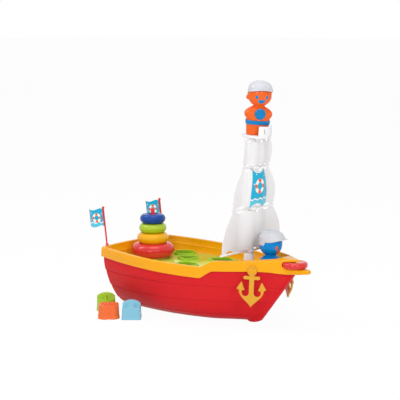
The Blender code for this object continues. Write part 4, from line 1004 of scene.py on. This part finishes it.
def sail_sheet(level, columns=120, rows=90):
    """A sail's thick sheet over (across, height).

    Its half-width runs evenly from yard to yard plus a sine of flare. It stands forward by
    the edge's swell, plus a middle panel that rises off the yard within 6 mm and eases down
    to the sides between 9 and 56 mm from the mast, or 0.86 of the half-width if that is less."""
    tall = YARD_UP[level + 1] - YARD_UP[level]
    top = tall - (YARD_R + 0.0012 if level < 2 else -YARD_R * 0.25)
    over = np.linspace(-YARD_R * 0.25, top, rows)[:, None]
    share = np.clip(over / tall, 0, 1)
    half = (YARD_HALF[level] - 0.004) * (1 - share) + (YARD_HALF[level + 1] - 0.004) * share
    half = half + FLARE[level] * np.sin(np.pi * share)
    y = half * np.linspace(-1, 1, columns)[None, :]
    swell = np.sin(np.pi * share)
    clear = np.clip(np.minimum(over, tall - over) / RISE, 0, 1) ** 0.7
    foot = np.minimum(FOOT, half * 0.86)
    t = np.clip((np.abs(y) - FLAT) / (foot - FLAT), 0, 1)
    panel = 1 - t * t * (3 - 2 * t)
    ahead = YARD_AHEAD + EDGE_SWELL[level] * swell * np.abs(y) / half
    ahead = ahead + ((CHANNEL - YARD_AHEAD) * clear + BELLY[level] * swell) * panel
    up = YARD_UP[level] + np.repeat(over, columns, 1)
    back, fore = (np.stack([ahead + half_thick, y, up], -1) for half_thick in (-0.001, 0.001))
    return moved(sheeted(back, fore), MAST_FRAME)


def oval_cutter(level):
    """Ovals through the sheet at the yards: one over the mast and one near each end."""
    cutters = []
    for end in (level, level + 1):
        for place in (-1, 0, 1):
            y = place * (YARD_HALF[end] - 0.030)
            wide, tall = (0.0165, 0.0088) if place else (0.0165, 0.0095)
            if place and YARD_HALF[end] < 0.06:
                wide, y = 0.0098, place * 0.0335
            a = np.linspace(0, 2 * np.pi, 56, endpoint=False)
            ring = np.stack([np.zeros(56), wide * np.cos(a) + y, tall * np.sin(a) + YARD_UP[end]], -1)
            cutters.append(lofted(np.array([ring + (-0.02, 0, 0), ring + (0.06, 0, 0)])))
    return moved(together(*cutters), MAST_FRAME)


def bar(start, end, radius, steps=24):
    """A round bar with domed ends: circles along a line, their radius a quarter circle at the ends."""
    start, end = np.array(start, float), np.array(end, float)
    along = (end - start) / np.linalg.norm(end - start)
    side = np.cross(along, (0, 0, 1.0) if abs(along[2]) < 0.9 else (1.0, 0, 0))
    side /= np.linalg.norm(side)
    other = np.cross(along, side)
    a = np.linspace(0, 2 * np.pi, steps, endpoint=False)
    circle = np.outer(np.cos(a), side) + np.outer(np.sin(a), other)
    rings = []
    for t in np.radians((8, 25, 45, 70, 90)):
        rings.append(start + along * radius * 0.5 * (1 - math.sin(t)) + circle * radius * math.sin(t))
    for t in np.radians((90, 70, 45, 25, 8)):
        rings.append(end - along * radius * 0.5 * (1 - math.sin(t)) + circle * radius * math.sin(t))
    return lofted(np.array(rings))


def collar_ring(bore, outer, low, high, soft=0.0006, steps=56):
    """A short tube with softened edges, as a closed section carried round the mast's axis."""
    section = [(bore, low + soft), (bore + soft, low), (outer - soft, low), (outer, low + soft),
               (outer, high - soft), (outer - soft, high), (bore + soft, high), (bore, high - soft)]
    return hooped(spun(section, steps))


def yards(level):
    """The sail's bars, in two halves that end in the clip ring, and the clip rings."""
    parts = []
    for end in ((level,) if level < 2 else (2, 3)):
        up, half = YARD_UP[end], YARD_HALF[end]
        for side in (-1, 1):
            parts.append(bar((YARD_AHEAD, side * 0.0108, up), (YARD_AHEAD, side * half, up), YARD_R))
        parts.append(collar_ring(0.0104, 0.0132, up - 0.004, up + 0.004))
    return moved(together(*parts), MAST_FRAME)


# %% [markdown]
# The finish of the sails
#
# The sheets are white plastic, more matt than the tub, with two fine mould lines down each, pressed in
# and painted whiter as a painted highlight, and a faint mottle. The middle sail carries a printed panel.
# The print here is a generic one: a life ring and a few white dots over a paler sea with one white crest.

# %% Sail finish and the printed panel
def print_colours(finish, u, v, ring, low, high, dots):
    """Colours of a printed sea panel: u across and v up, both in metres from its middle.

    A life ring is a band between two radii, with coloured quarters where |u*u - v*v| is
    small beside r*r. The sea is all that lies below a sine of u, under a white crest."""
    r = (u * u + v * v).root()
    band = r.below(ring, 0.0004) * (1 - r.below(ring * 0.5, 0.0004))
    quarter = (abs(u * u - v * v) / (r * r).most(0.0000001)).below(0.78, 0.06)
    swell = v - low - (high - low) * 0.20 - (u * 330.0).sine() * 0.0018
    colour = finish.mix(swell.below(0.0030, 0.0004), TURQUOISE, "F4F6F6")
    colour = finish.mix(swell.below(0.0, 0.0004), colour, PALE_SEA)
    colour = finish.mix(band, colour, "F6F4F0")
    colour = finish.mix(band * (1 - quarter), colour, "E8642C")
    for du, dv in dots:
        dot = ((u - du) * (u - du) + (v - dv) * (v - dv)).root()
        colour = finish.mix(dot.below(0.0016, 0.0005), colour, "F4F6F6")
    return colour


def sail_finish(level):
    """White sheet, two mould lines with a painted highlight, a faint mottle, and the panel on the middle sail.
    """
    finish = Finish(f"sail_white_{level}")
    y, z = finish.split(finish.place())[1:]
    white = finish.mix(finish.noise(14.0, 3.0), "E6E5E6", "ECEBEB")
    line_at = (0.036, 0.033, 0.024)[level]
    line = (abs(abs(y) - line_at)).below(0.0006, 0.0008)
    if level == 1:
        middle = FLOOR_Z + 0.2356
        v = z - middle
        down = ((0.045 - v) * (1 / 0.055)).least(1.0).most(0.0)
        side, half = y - 0.0005 - down * 0.0090, 0.0235 + down * 0.0122
        ends = abs(v + 0.0012) - 0.0470
        cut_high = ((y * (1 / 0.0205)) ** 2 + ((v - 0.0500) * (1 / 0.0135)) ** 2).below(1.0, 0.03)
        cut_low = ((y * (1 / 0.0215)) ** 2 + ((v + 0.0525) * (1 / 0.0135)) ** 2).below(1.0, 0.03)
        panel = (abs(side) - half).below(0.0, 0.0004) * ends.below(0.0, 0.0004) * (1 - cut_high) * (1 - cut_low)
        border = (abs(side) - half + 0.0016).below(0.0, 0.0004)
        dots = ((-0.014, 0.030), (0.017, 0.024), (-0.021, 0.006))
        printed = print_colours(finish, y - 0.0045, v - 0.004, 0.0182, -0.052, 0.039, dots)
        white = finish.mix(panel, white, finish.mix(border, "F6E4E6", printed))
    # Painted highlight: each mould line is painted whiter, as if it caught the light.
    white = finish.mix(line * 0.35, white, "FFFFFF")
    finish.set(Base_Color=white, Roughness=finish.uneven(0.36, 40.0, 0.12), Specular_IOR_Level=0.25)
    return finish.relief(line * -1.0 + finish.noise(220.0, 2.0) * 0.3, 0.00025)


for level, (name, body) in enumerate(
        (("lower", "lower_sail"), ("middle", "middle_sail"), ("top", "upper_sail"))):
    sheet = solid(f"sail_sheet_{name}", sail_sheet(level), sharp=45)
    carve(sheet, oval_cutter(level), sharp=45)
    dress(sheet, sail_finish(level), body, f"sail_{name}", slot="white_plastic")
    dress(solid(f"sail_bars_{name}", yards(level), sharp=45), "white", body, slot="white_plastic")

# %% [markdown]
# The crow's nest
#
# A round tray with a hub that sits on the mast, and a curved rail on the side that faces the
# bow, with two upright slots. The tray is turned; the rail is an arc with a thickness.

# %% Nest
tray = [(0, -0.003), (0.0103, -0.003), (0.0103, -0.0055), (0.0128, -0.0055), (0.0128, -0.003),
        (0.033, -0.003), (0.0332, -0.0058), (0.0336, -0.006), (0.0350, -0.006), (0.0354, -0.0056),
        (0.036, -0.001), (0.0357, -0.0003), (0.035, 0.0), (0, 0.0)]
nest = solid("nest_tray", revolved(tray, 96, MAST_FRAME @ Matrix.Translation((0, 0, NEST_UP))), sharp=40)


def nest_rail():
    """The rail's wall over (angle, section): a strip 2.5 mm thick that stands 24 mm over the tray."""
    section = [(0.0356, -0.001), (0.0356, 0.0230), (0.0353, 0.0237), (0.0347, 0.0240), (0.0340, 0.0240),
               (0.0334, 0.0237), (0.0331, 0.0230), (0.0331, -0.001)]
    a = np.linspace(math.radians(-45), math.radians(50), 48)
    r, z = np.array(section).T
    rings = np.stack([np.cos(a)[:, None] * r, np.sin(a)[:, None] * r, np.repeat(z[None, :], 48, 0)], -1)
    return lofted(rings)


RAIL_FRAME = MAST_FRAME @ Matrix.Translation((0.0015, 0, NEST_UP))
rail = solid("nest_rail", moved(nest_rail(), RAIL_FRAME), sharp=40)
slots = []
for a in (-20, 20):
    slot_box = np.array([(0.028, -0.0012), (0.042, -0.0012), (0.042, 0.0012), (0.028, 0.0012)])
    outline = turned_about(round_corners(slot_box, 0.0009, 6), 0, 0, math.radians(a))
    slots.append(lofted(np.array([at_height(outline, z) for z in (0.006, 0.018)])))
carve(rail, moved(together(*slots), RAIL_FRAME), sharp=40)
dress(nest, "white", "boat", "crows_nest", slot="white_plastic")
dress(rail, "white", "boat", slot="white_plastic")

# %% [markdown]
# The sailors
#
# Each sailor is one moulding with a rounded, slightly square body, a round head and
# small ears, plus a white cap, a belt and a disc on the chest. A loft of superellipses suits
# this: at each height a half-width, a half-depth and a squareness, joined by a smooth curve.

# %% Sailor surfaces
BODY = ((0.0, 0.0245, 0.0148, 2.5), (0.0020, 0.0262, 0.0165, 2.5), (0.0215, 0.0276, 0.0190, 2.5),
        (0.0385, 0.0290, 0.0208, 2.5), (0.0450, 0.0330, 0.0220, 2.5), (0.0520, 0.0345, 0.0224, 2.5),
        (0.0590, 0.0315, 0.0208, 2.5), (0.0650, 0.0240, 0.0180, 2.4), (0.0690, 0.0165, 0.0145, 2.3),
        (0.0715, 0.0140, 0.0132, 2.1), (0.0735, 0.0165, 0.0155, 2.1), (0.0775, 0.0215, 0.0200, 2.1),
        (0.0830, 0.0260, 0.0240, 2.1), (0.0900, 0.0285, 0.0262, 2.1), (0.0970, 0.0292, 0.0268, 2.1),
        (0.1050, 0.0288, 0.0264, 2.1), (0.1130, 0.0262, 0.0240, 2.1), (0.1200, 0.0205, 0.0188, 2.1),
        (0.1250, 0.0115, 0.0105, 2.1))
CHEST_Z, CHEST_R, CHEST_DEEP = 0.0525, 0.0133, 0.0196
TOP_TURN = -38.0
LEAN_AXIS = (-0.67, 0.74, 0)
TOP_AXIS = Matrix.Rotation(math.radians(-TOP_TURN), 3, "Z") @ Vector(LEAN_AXIS)
TOP_LEAN = Matrix.Rotation(math.radians(1.0), 4, TOP_AXIS)
ON_NEST = (MAST_FRAME @ Matrix.Translation((0, 0, NEST_UP + 0.0003))
           @ Matrix.Rotation(math.radians(TOP_TURN), 4, "Z") @ TOP_LEAN)
ON_FLOOR = Matrix.Translation((0.1775, 0, FLOOR_Z + 0.0003))
BOW_LEAN = Matrix.Rotation(math.radians(1.2), 4, LEAN_AXIS) @ Matrix.Scale(1.026, 4, (0, 0, 1))


def squared_rings(sections, columns=72):
    """Rings from rows of (height, half-width, half-depth, power).

    A point at angle a lies at depth * |cos a| ** (2 / power) and width * |sin a| ** (2 / power),
    each with its own sign."""
    z, wide, deep, power = np.asarray(sections, float).T[:, :, None]
    a = np.linspace(0, 2 * np.pi, columns, endpoint=False)[None, :]
    c, s = np.cos(a), np.sin(a)
    x = deep * np.sign(c) * np.abs(c) ** (2 / power)
    y = wide * np.sign(s) * np.abs(s) ** (2 / power)
    return np.stack([x, y, np.repeat(z, columns, 1)], -1)


def sailor_body():
    """The body and head as one loft, with the edge of the foot rounded."""
    rows = through(BODY, 110)
    return lofted(squared_rings(rows))


def along_x(part):
    """A shape made along Z, laid along X."""
    return moved(part, Matrix.Rotation(math.pi / 2, 4, "Y"))


def chest_disc():
    """A shallow button with a rounded edge."""
    edge = CHEST_DEEP + 0.0042
    profile = [(0, CHEST_DEEP + 0.0003), (CHEST_R, CHEST_DEEP + 0.0003), (CHEST_R, edge - 0.0008)]
    profile += [(CHEST_R - 0.0012 + 0.0012 * math.cos(t), edge - 0.0008 + 0.0010 * math.sin(t))
                for t in np.radians((25, 50, 75))]
    profile += [(CHEST_R * 0.7, edge + 0.0006), (CHEST_R * 0.35, edge + 0.0009), (0, edge + 0.0011)]
    return moved(along_x(revolved(profile, 64)), Matrix.Translation((0, 0, CHEST_Z)))


def ear_pair():
    """Two small rounded ears: one spindle across the head, thickest where it leaves it."""
    y = np.linspace(-1, 1, 41)
    r = 0.0066 * np.sqrt(np.clip(1 - np.abs(y) ** 9.0, 0, 1)) + 0.0001
    a = np.linspace(0, 2 * np.pi, 40, endpoint=False)
    return lofted(np.stack([r[:, None] * np.cos(a) * 0.9 - 0.005, np.repeat(0.0328 * y[:, None], 40, 1),
                            0.0905 + r[:, None] * np.sin(a)], -1))


def belt():
    """A raised band: its rounded section follows the body between two heights."""
    low, high, proud, soft = 0.0256, 0.0358, 0.0018, 0.0009
    rows = []
    near = proud - soft * 0.3
    for z, grow in ((low, 0.0002), (low, proud - soft), (low + soft * 0.3, near), (low + soft, proud),
                    (high - soft, proud), (high - soft * 0.3, near), (high, proud - soft), (high, 0.0002)):
        share = (z - 0.0215) / 0.017
        rows.append((z, 0.0276 + 0.0014 * share + grow, 0.0190 + 0.0018 * share + grow, 2.5))
    return hooped(squared_rings(rows))


def sailor_cap():
    """A sailor's cap: a tall dome over a rolled edge, long from front to back.

    The edge rises in front with the square of x and drops as a flap behind; a peak reaches out in
    front with the sixth power of x. The whole dome is drawn forward of the head."""
    inner = ((0.1254, 0.0115, 0.0105, 2.1), (0.1200, 0.0210, 0.0193, 2.1), (0.1130, 0.0268, 0.0246, 2.1),
             (0.1040, 0.0292, 0.0272, 2.1))
    outer = ((0.1040, 0.0296, 0.0294, 2.2), (0.1044, 0.0301, 0.0301, 2.2), (0.1054, 0.0304, 0.0305, 2.2),
             (0.1068, 0.0304, 0.0306, 2.2), (0.1080, 0.0301, 0.0304, 2.2), (0.1110, 0.0299, 0.0302, 2.2),
             (0.1150, 0.0291, 0.0295, 2.2), (0.1200, 0.0270, 0.0275, 2.2), (0.1250, 0.0232, 0.0236, 2.2),
             (0.1290, 0.0172, 0.0178, 2.1), (0.1316, 0.0100, 0.0106, 2.1), (0.1325, 0.0032, 0.0034, 2.1))
    inner_rows = 24
    rows = np.concatenate([through(inner, inner_rows), through(outer, 60)])
    rings = squared_rings(rows, 96)
    x, y, z = rings[..., 0].copy(), rings[..., 1], rings[..., 2].copy()
    low = np.clip((0.1130 - z) / 0.0080, 0, 1)
    ahead = np.clip(x / 0.031, 0, None)
    forward = np.clip((0.1325 - z) / 0.0275, 0, 1) ** 0.5
    forward[:inner_rows] = 0.0
    z += low * (0.0080 * ahead ** 2 - 0.0080 * ease(-x, 0.002, 0.006))
    peak = low ** 2 * ahead ** 6 * 0.0100
    peak[:inner_rows] = 0
    x = x + forward * (0.0040 * (0.35 + ahead)) + peak
    return lofted(np.stack([x, y, z], -1))


# %% [markdown]
# Faces
#
# The faces are plain doll faces, printed flat on the head: two upright ovals and a smile that
# is a half round with a straight upper edge. A mask worked out from the head's own
# coordinates paints them, and only on the front half.


# %% Face finish
def face_finish(name, skin, trim, place, turn):
    """The sailor's plastic with two oval eyes and a half-round smile in the trim colour."""
    finish = Finish(name)
    x, y, z = finish.split(finish.place(turn, tuple(place.translation)))
    flow = finish.noise(9.0)
    base = finish.mix(flow, skin[0], skin[1])
    ey, ez = (abs(y) - 0.0123) * (1 / 0.0034), (z - 0.0937) * (1 / 0.0046)
    eyes = (ey * ey + ez * ez).root().below(1.0, 0.08)
    my, mz = y * (1 / 0.0092), (z - 0.0872) * (1 / 0.0092)
    smile = (my * my + mz * mz).root().below(1.0, 0.06) * (z - 0.0872 - my * my * 0.0005).below(0.0, 0.0003)
    face = (eyes.most(smile)) * (0.0 - x).below(-0.005, 0.001)
    finish.set(Base_Color=finish.mix(face, base, trim),
               Roughness=finish.uneven(0.16, 35.0, 0.08), Specular_IOR_Level=0.14)
    return finish.relief(finish.noise(650.0, 1.0) * 0.3 + face * 0.7, 0.0001)


# %% Both sailors
def make_sailor(prefix, place, turn, head, skin, trim, trim_paint, slots):
    """Body with carved chest, ears, belt, chest disc and cap, all on the sailor's own body.

    head is how far, in degrees, the head looks to the sailor's left."""
    look = place @ Matrix.Rotation(math.radians(head), 4, "Z")
    turn = (turn[0], turn[1], turn[2] - math.radians(head))
    figure = solid(f"{prefix}_figure", moved(sailor_body(), place), sharp=60)
    seat_r = CHEST_R + 0.0005
    seat = along_x(revolved([(0, CHEST_DEEP), (seat_r, CHEST_DEEP), (seat_r, 0.04), (0, 0.04)], 64))
    seat = moved(seat, place @ Matrix.Translation((0, 0, CHEST_Z)))
    carve(figure, seat, sharp=60)
    paint = face_finish(f"{prefix}_face", skin, trim, place, turn)
    dress(figure, paint, prefix, f"{prefix}_body", slot=slots[0])
    ears = solid(f"{prefix}_ears", moved(ear_pair(), look), sharp=60)
    dress(ears, paint, prefix, slot=slots[0])
    for piece, part, frame_of, sharp, finish, node, slot in (
            ("belt_band", belt(), place, 50, trim_paint, "belt", slots[1]),
            ("button", chest_disc(), place, 50, trim_paint, "chest_disc", slots[1]),
            ("cap_shell", sailor_cap(), look, 60, "cap", "cap", "white_plastic")):
        made = solid(f"{prefix}_{piece}", moved(part, frame_of), sharp=sharp)
        dress(made, finish, prefix, f"{prefix}_{node}", slot=slot)


make_sailor("top_sailor", ON_NEST, (0, math.radians(-4.2), math.radians(-TOP_TURN)), 5.0,
            ("EA6222", ORANGE), BRIGHT_BLUE, "bright_blue", ("orange_plastic", "bright_blue_plastic"))
make_sailor("bow_sailor", ON_FLOOR @ BOW_LEAN, (0, 0, 0), 11.0, ("0080CC", SAILOR_BLUE), TRIM_ORANGE,
            "trim_orange", ("blue_plastic", "orange_plastic"))

# %% [markdown]
# The stern flags
#
# Two stiff printed flags hang on red poles. The sheet is a surface over (along, down): a
# single slow wave from side to side and a slight sag. The print is the same generic sea panel
# as on the sail, with a thin red edge.

# %% Flags and poles
FLAG_L, FLAG_H, FLAG_T, POLE_L, POLE_R, RAKE = 0.0510, 0.0455, 0.0014, 0.103, 0.0022, math.radians(8)
FLAG_TOP, POLE_X, POLE_Y = POLE_L - 0.0072, -0.2865, 0.107


def flag_surface(columns=60, rows=24):
    """The sheet: a sine of 2.8 mm sideways, eased in from the pole, and one of 2 mm in height."""
    share = np.linspace(0, 1, columns)[None, :]
    down = np.linspace(0, 1, rows)[:, None]
    x = np.repeat(-(POLE_R + 0.0003) - FLAG_L * share, rows, 0)
    wave = 0.0028 * np.sin(2 * np.pi * share) * ease(share, 0, 0.3)
    z = FLAG_TOP - FLAG_H * down + 0.0020 * np.sin(2 * np.pi * share * 1.1)
    y = np.repeat(wave, rows, 0)
    return sheeted(np.stack([x, y - FLAG_T / 2, z], -1), np.stack([x, y + FLAG_T / 2, z], -1))


def flag_finish(name, place):
    """Printed plastic: the sea panel inside a thin red edge."""
    finish = Finish(name)
    centre = place @ Vector((-(POLE_R + 0.0003) - FLAG_L / 2, 0, FLAG_TOP - FLAG_H / 2))
    x, _, z = finish.split(finish.place((0, RAKE, 0), tuple(centre)))
    dots = ((-0.017, 0.013), (0.018, 0.011), (-0.019, -0.004))
    printed = print_colours(finish, x, z, 0.0125, -0.0225, 0.0225, dots)
    inside = (abs(x) - FLAG_L / 2 + 0.0016).below(0.0, 0.0004)
    finish.set(Base_Color=finish.mix(inside, "B5343C", printed), Roughness=finish.uneven(0.32, 40.0, 0.1, 2.0),
               Specular_IOR_Level=0.25)
    return finish.relief(finish.noise(300.0, 2.0), 0.00005)


POLE = [(0, 0), (0.0046, 0), (0.0046, 0.0015), (0.0042, 0.0022), (POLE_R * 1.3, 0.0046), (POLE_R, 0.008)]
POLE += [(POLE_R * wide, POLE_L - below) for wide, below in (
    (1, 0.0072), (1.2, 0.0062), (1.55, 0.0050), (1.66, 0.0036), (1.5, 0.0020), (1, 0.0007), (0, 0))]
for side, name in ((-1, "starboard"), (1, "port")):
    foot = Matrix.Translation((POLE_X, side * POLE_Y, float(sheer(POLE_X)) + 0.0010))
    place = foot @ Matrix.Rotation(-RAKE, 4, "Y")
    dress(solid(f"pole_{name}", moved(revolved(POLE, 40), place)), "ring_red", f"{name}_flag",
          f"flag_pole_{name}", slot="red_plastic")
    dress(solid(f"flag_sheet_{name}", moved(flag_surface(), place), sharp=60),
          flag_finish(f"flag_print_{name}", place), f"{name}_flag", f"flag_{name}", slot="turquoise_print")

# %% [markdown]
# Anchors
#
# The anchors are flat mouldings that hang from pegs on the bow. Such a shape is an outline
# with a thickness, and what makes it look moulded is its rounded edge: the outline is drawn
# in layers, each pulled in along its own normals by a quarter circle.

# %% Anchor outline and rounded plate
ANCHOR_T, ANCHOR_RING_R, ANCHOR_HOLE_R, PEG_R, PEG_HEAD_R = 0.0045, 0.0117, 0.0042, 0.0034, 0.0062


def arc(cx, cy, r, start, end, count):
    """Points of an arc from one angle to another."""
    t = np.linspace(start, end, count)
    return np.column_stack([cx + r * np.cos(t), cy + r * np.sin(t)])


def even(outline, count):
    """A closed outline's points laid out again at even steps of its length."""
    closed = np.concatenate([outline, outline[:1]])
    run = np.concatenate([[0], np.cumsum(np.linalg.norm(np.diff(closed, axis=0), axis=1))])
    at = np.linspace(0, run[-1], count, endpoint=False)
    return np.column_stack([np.interp(at, run, closed[:, k]) for k in (0, 1)])


def anchor_outline():
    """Ring, stock, shank, arms and flukes; the right half, then its mirror."""
    shank, stock, thick, reach = 0.0060, -0.0168, 0.0042, 0.0205
    meet = math.sqrt(ANCHOR_RING_R ** 2 - shank ** 2)
    t = np.linspace(0, 1, 28)[1:-1, None]
    keel = ((1 - t) ** 3 * (0.0305, -0.0475) + 3 * t * (1 - t) ** 2 * (0.0300, -0.0655)
            + 3 * t ** 2 * (1 - t) * (0.0095, -0.0745) + t ** 3 * (0.0, -0.0892))
    fluke = [(0.0235, -0.0540), (0.0235, -0.0490), (0.0165, -0.0476), (0.0246, -0.0262), (0.0365, -0.0450),
             (0.0305, -0.0475), (0.0303, -0.0520)]
    right = np.concatenate([
        arc(0, 0, ANCHOR_RING_R, math.pi / 2, -math.atan2(meet, shank), 26), [(shank, stock + thick)],
        arc(reach - thick, stock, thick, math.pi / 2, -math.pi / 2, 16), [(shank, stock - thick)],
        arc(0.0147, -0.0540, 0.0088, math.pi, 2 * math.pi, 20),
        round_corners(fluke, 0.0012, 6)[6:-6], keel, [(0.0, -0.0892)]])
    return np.concatenate([right, right[-2:0:-1] * (-1, 1)])


def rounded_plate(outline, thick, soft, layers=5):
    """A plate in the YZ plane from x = 0 to its thickness, its edges rounded on both faces."""
    inward, rings = across_edge(outline), []
    for angle in np.radians(np.linspace(-90, 90, 2 * layers)):
        pulled = outline + inward * soft * (1 - math.cos(angle))
        x = soft * (1 + math.sin(angle)) if angle < 0 else thick - soft * (1 - math.sin(angle))
        rings.append(np.column_stack([np.full(len(outline), x), pulled]))
    return lofted(np.array(rings))


def anchor_frame(side):
    """X straight out of the tub's side at the peg, Z up."""
    slope = float(rim_breadth(0.179) - rim_breadth(0.177)) / 0.002
    out = Vector((-slope, side, 0)).normalized()
    frame = Matrix((out, Vector((0, 0, 1)).cross(out), (0, 0, 1))).transposed().to_4x4()
    frame.translation = Vector((0.178, side * float(rim_breadth(0.178)), 0.147)) + out * 0.0015
    return frame


PEG = [(0, -0.002), (PEG_R, -0.002)] + [(r, ANCHOR_T + out) for r, out in (
    (PEG_R, 0.0003), (PEG_HEAD_R - 0.0004, 0.0003), (PEG_HEAD_R, 0.0008), (PEG_HEAD_R, 0.0014),
    (PEG_HEAD_R - 0.0005, 0.0020), (PEG_HEAD_R - 0.0014, 0.0025), (0.0022, 0.0028), (0.0015, 0.0026),
    (0.0012, 0.0016), (0, 0.0013))]
for side, name in ((-1, "starboard"), (1, "port")):
    place = anchor_frame(side) @ Matrix.Rotation(math.radians(2.0 * side), 4, "X")
    plate = moved(rounded_plate(anchor_outline(), ANCHOR_T, 0.0009), place)
    plate = solid(f"anchor_plate_{name}", plate, sharp=50)
    bore = along_x(revolved([(0, -0.01), (ANCHOR_HOLE_R, -0.01), (ANCHOR_HOLE_R, 0.02), (0, 0.02)], 48))
    carve(plate, moved(bore, place), sharp=50)
    dress(plate, "gold", f"{name}_anchor", f"anchor_{name}", slot="yellow_plastic")
    dress(solid(f"anchor_button_{name}", moved(along_x(revolved(PEG, 40)), place), sharp=50), "yellow", "boat",
          f"anchor_peg_{name}", slot="yellow_plastic")

# %% [markdown]
# The bow disc
#
# A red disc turns on a pin in the slot between the bow's rim and its lower lip. Only its
# rounded edge shows, so the edge's arc is what matters.

# %% Disc and pin
edge, half = 0.0065, DISC_H / 2
section = [(0.0044, half - 0.0004), (0.0048, half), (DISC_R - edge, half)]
for first, middle in ((15, half - edge), (90, -half + edge)):
    section += [(DISC_R - edge + edge * math.sin(t), middle + edge * math.cos(t))
                for t in np.radians(np.arange(first, first + 76, 15))]
section += [(DISC_R - edge, -half), (0.0048, -half), (0.0044, -half + 0.0004)]
disc = hooped(spun(section, 120) + (DISC_X, 0, DISC_Z))
dress(solid("bow_wheel", disc, sharp=50), "ring_red", "disc", "bow_disc", slot="red_plastic")
low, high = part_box("bow_disc_pin")
pin = [(0, low.z), (0.0038, low.z), (0.0040, low.z + 0.0002), (0.0040, high.z - 0.0002),
       (0.0038, high.z), (0, high.z)]
dress(solid("bow_pin", revolved(pin, 48, Matrix.Translation((DISC_X, 0, 0)))), "yellow", "boat", "bow_disc_pin",
      slot="yellow_plastic")

# %% [markdown]
# The sorter blocks
#
# Each block is a sorter shape with a flared foot. The round and the square one have an
# arched top with a finger scoop on each side of a web; the clover has a sunk top with a
# ridge. All three tops are heights over the plan, so one function lofts the wall from the
# foot and carries the same grid over the edge to the middle of the top.

# %% Block surfaces
WALL_FOOT_Z = 0.0085


def softer(a, b, blend, sign=-1):
    """The lower (sign -1) or higher (sign 1) of two heights, with the corner blended."""
    return 0.5 * (a + b + sign * np.sqrt((a - b) ** 2 + blend ** 2))


def grip_height(x, y, share, web):
    """A flat top with a sunk floor and an arched ridge across x, and a web in front of it.

    The ridge is an arch of x that falls away with |y|; the web is a hump of x that runs
    from the ridge down to both edges, as wide and as high as web says."""
    wide, high = web
    arch = 0.0300 + 0.0175 * np.sqrt(np.clip(1 - (x / 0.0262) ** 2, 0, 1))
    floor = 0.0265 + 0.0045 * ease(share, 0.80, 0.93)
    ridge = floor + (arch - floor) * (1 - ease(np.abs(y), 0.0025, 0.0070))
    fall = 1 - np.clip(np.abs(y) / 0.0235, 0, 1) ** 1.6
    hump = 0.0290 + high * np.clip(1 - (x / wide) ** 2, 0, 1) ** 0.7 * fall
    return softer(ridge, hump, 0.0010, 1)


def tray_height(x, y, share, web):
    """Flat, sunk by 5 mm inside the edge, with a wavy ridge along x left standing."""
    sunk = 1 - ease(share, 0.74, 0.84)
    ridge = 1 - ease(np.abs(y) - 0.0016 * np.cos(x * 480), 0.0032, 0.0048)
    return 0.0350 - 0.0050 * sunk * (1 - ridge)


def block_surface(kind, height, web=None, columns=144):
    """Foot, wall, rounded edge and top of a block, as rings of one loft."""
    plain = even(sorter_shape(kind, -0.0012), columns)
    unit = plain / BLOCK_HALF
    soft = 0.0012
    reach = 1 - soft / np.hypot(*plain.T)[:, None]
    rim = height(*(plain * reach).T, 0.97, web)
    flare = ((0.0008, 0.0), (0.0018, 0.0005), (0.0022, 0.0018), (0.0021, 0.0034), (0.0015, 0.0050),
             (0.0011, 0.0066))
    rings = [at_height(plain + unit * grow, z) for grow, z in flare]
    for share in np.linspace(0, 1, 10):
        rings.append(np.column_stack([plain + unit * 0.0010 * (1 - share),
                                      WALL_FOOT_Z + (rim - soft - WALL_FOOT_Z) * share]))
    for t in np.radians((20, 40, 60, 80)):
        inner = plain * (1 - (1 - reach) * (1 - math.cos(t)))
        rings.append(np.column_stack([inner, rim - soft + soft * math.sin(t)]))
    for share in np.concatenate([np.linspace(0.985, 0.70, 22), np.linspace(0.68, 0.02, 30)]):
        p = plain * reach * share
        rings.append(np.column_stack([p, height(*p.T, share, web)]))
    return lofted(np.array(rings))


# %% The three blocks
BLOCKS = (("round", (-0.242, -0.1554), 42, "block_lime", "lime_plastic", grip_height, (0.0042, 0.0150)),
          ("clover", (-0.1773, -0.2087), 47, "tangerine", "tangerine_plastic", tray_height, None),
          ("square", (-0.1299, -0.174), 42, "sky", "sky_plastic", grip_height, (0.0118, 0.0095)))
for kind, spot, turn, paint, slot, height, web in BLOCKS:
    place = Matrix.Translation((*spot, 0)) @ Matrix.Rotation(math.radians(turn), 4, "Z")
    form = moved(block_surface(kind, height, web), place)
    dress(solid(f"block_{kind}_form", form, sharp=55), paint, f"{kind}_block", f"block_{kind}", slot=slot)
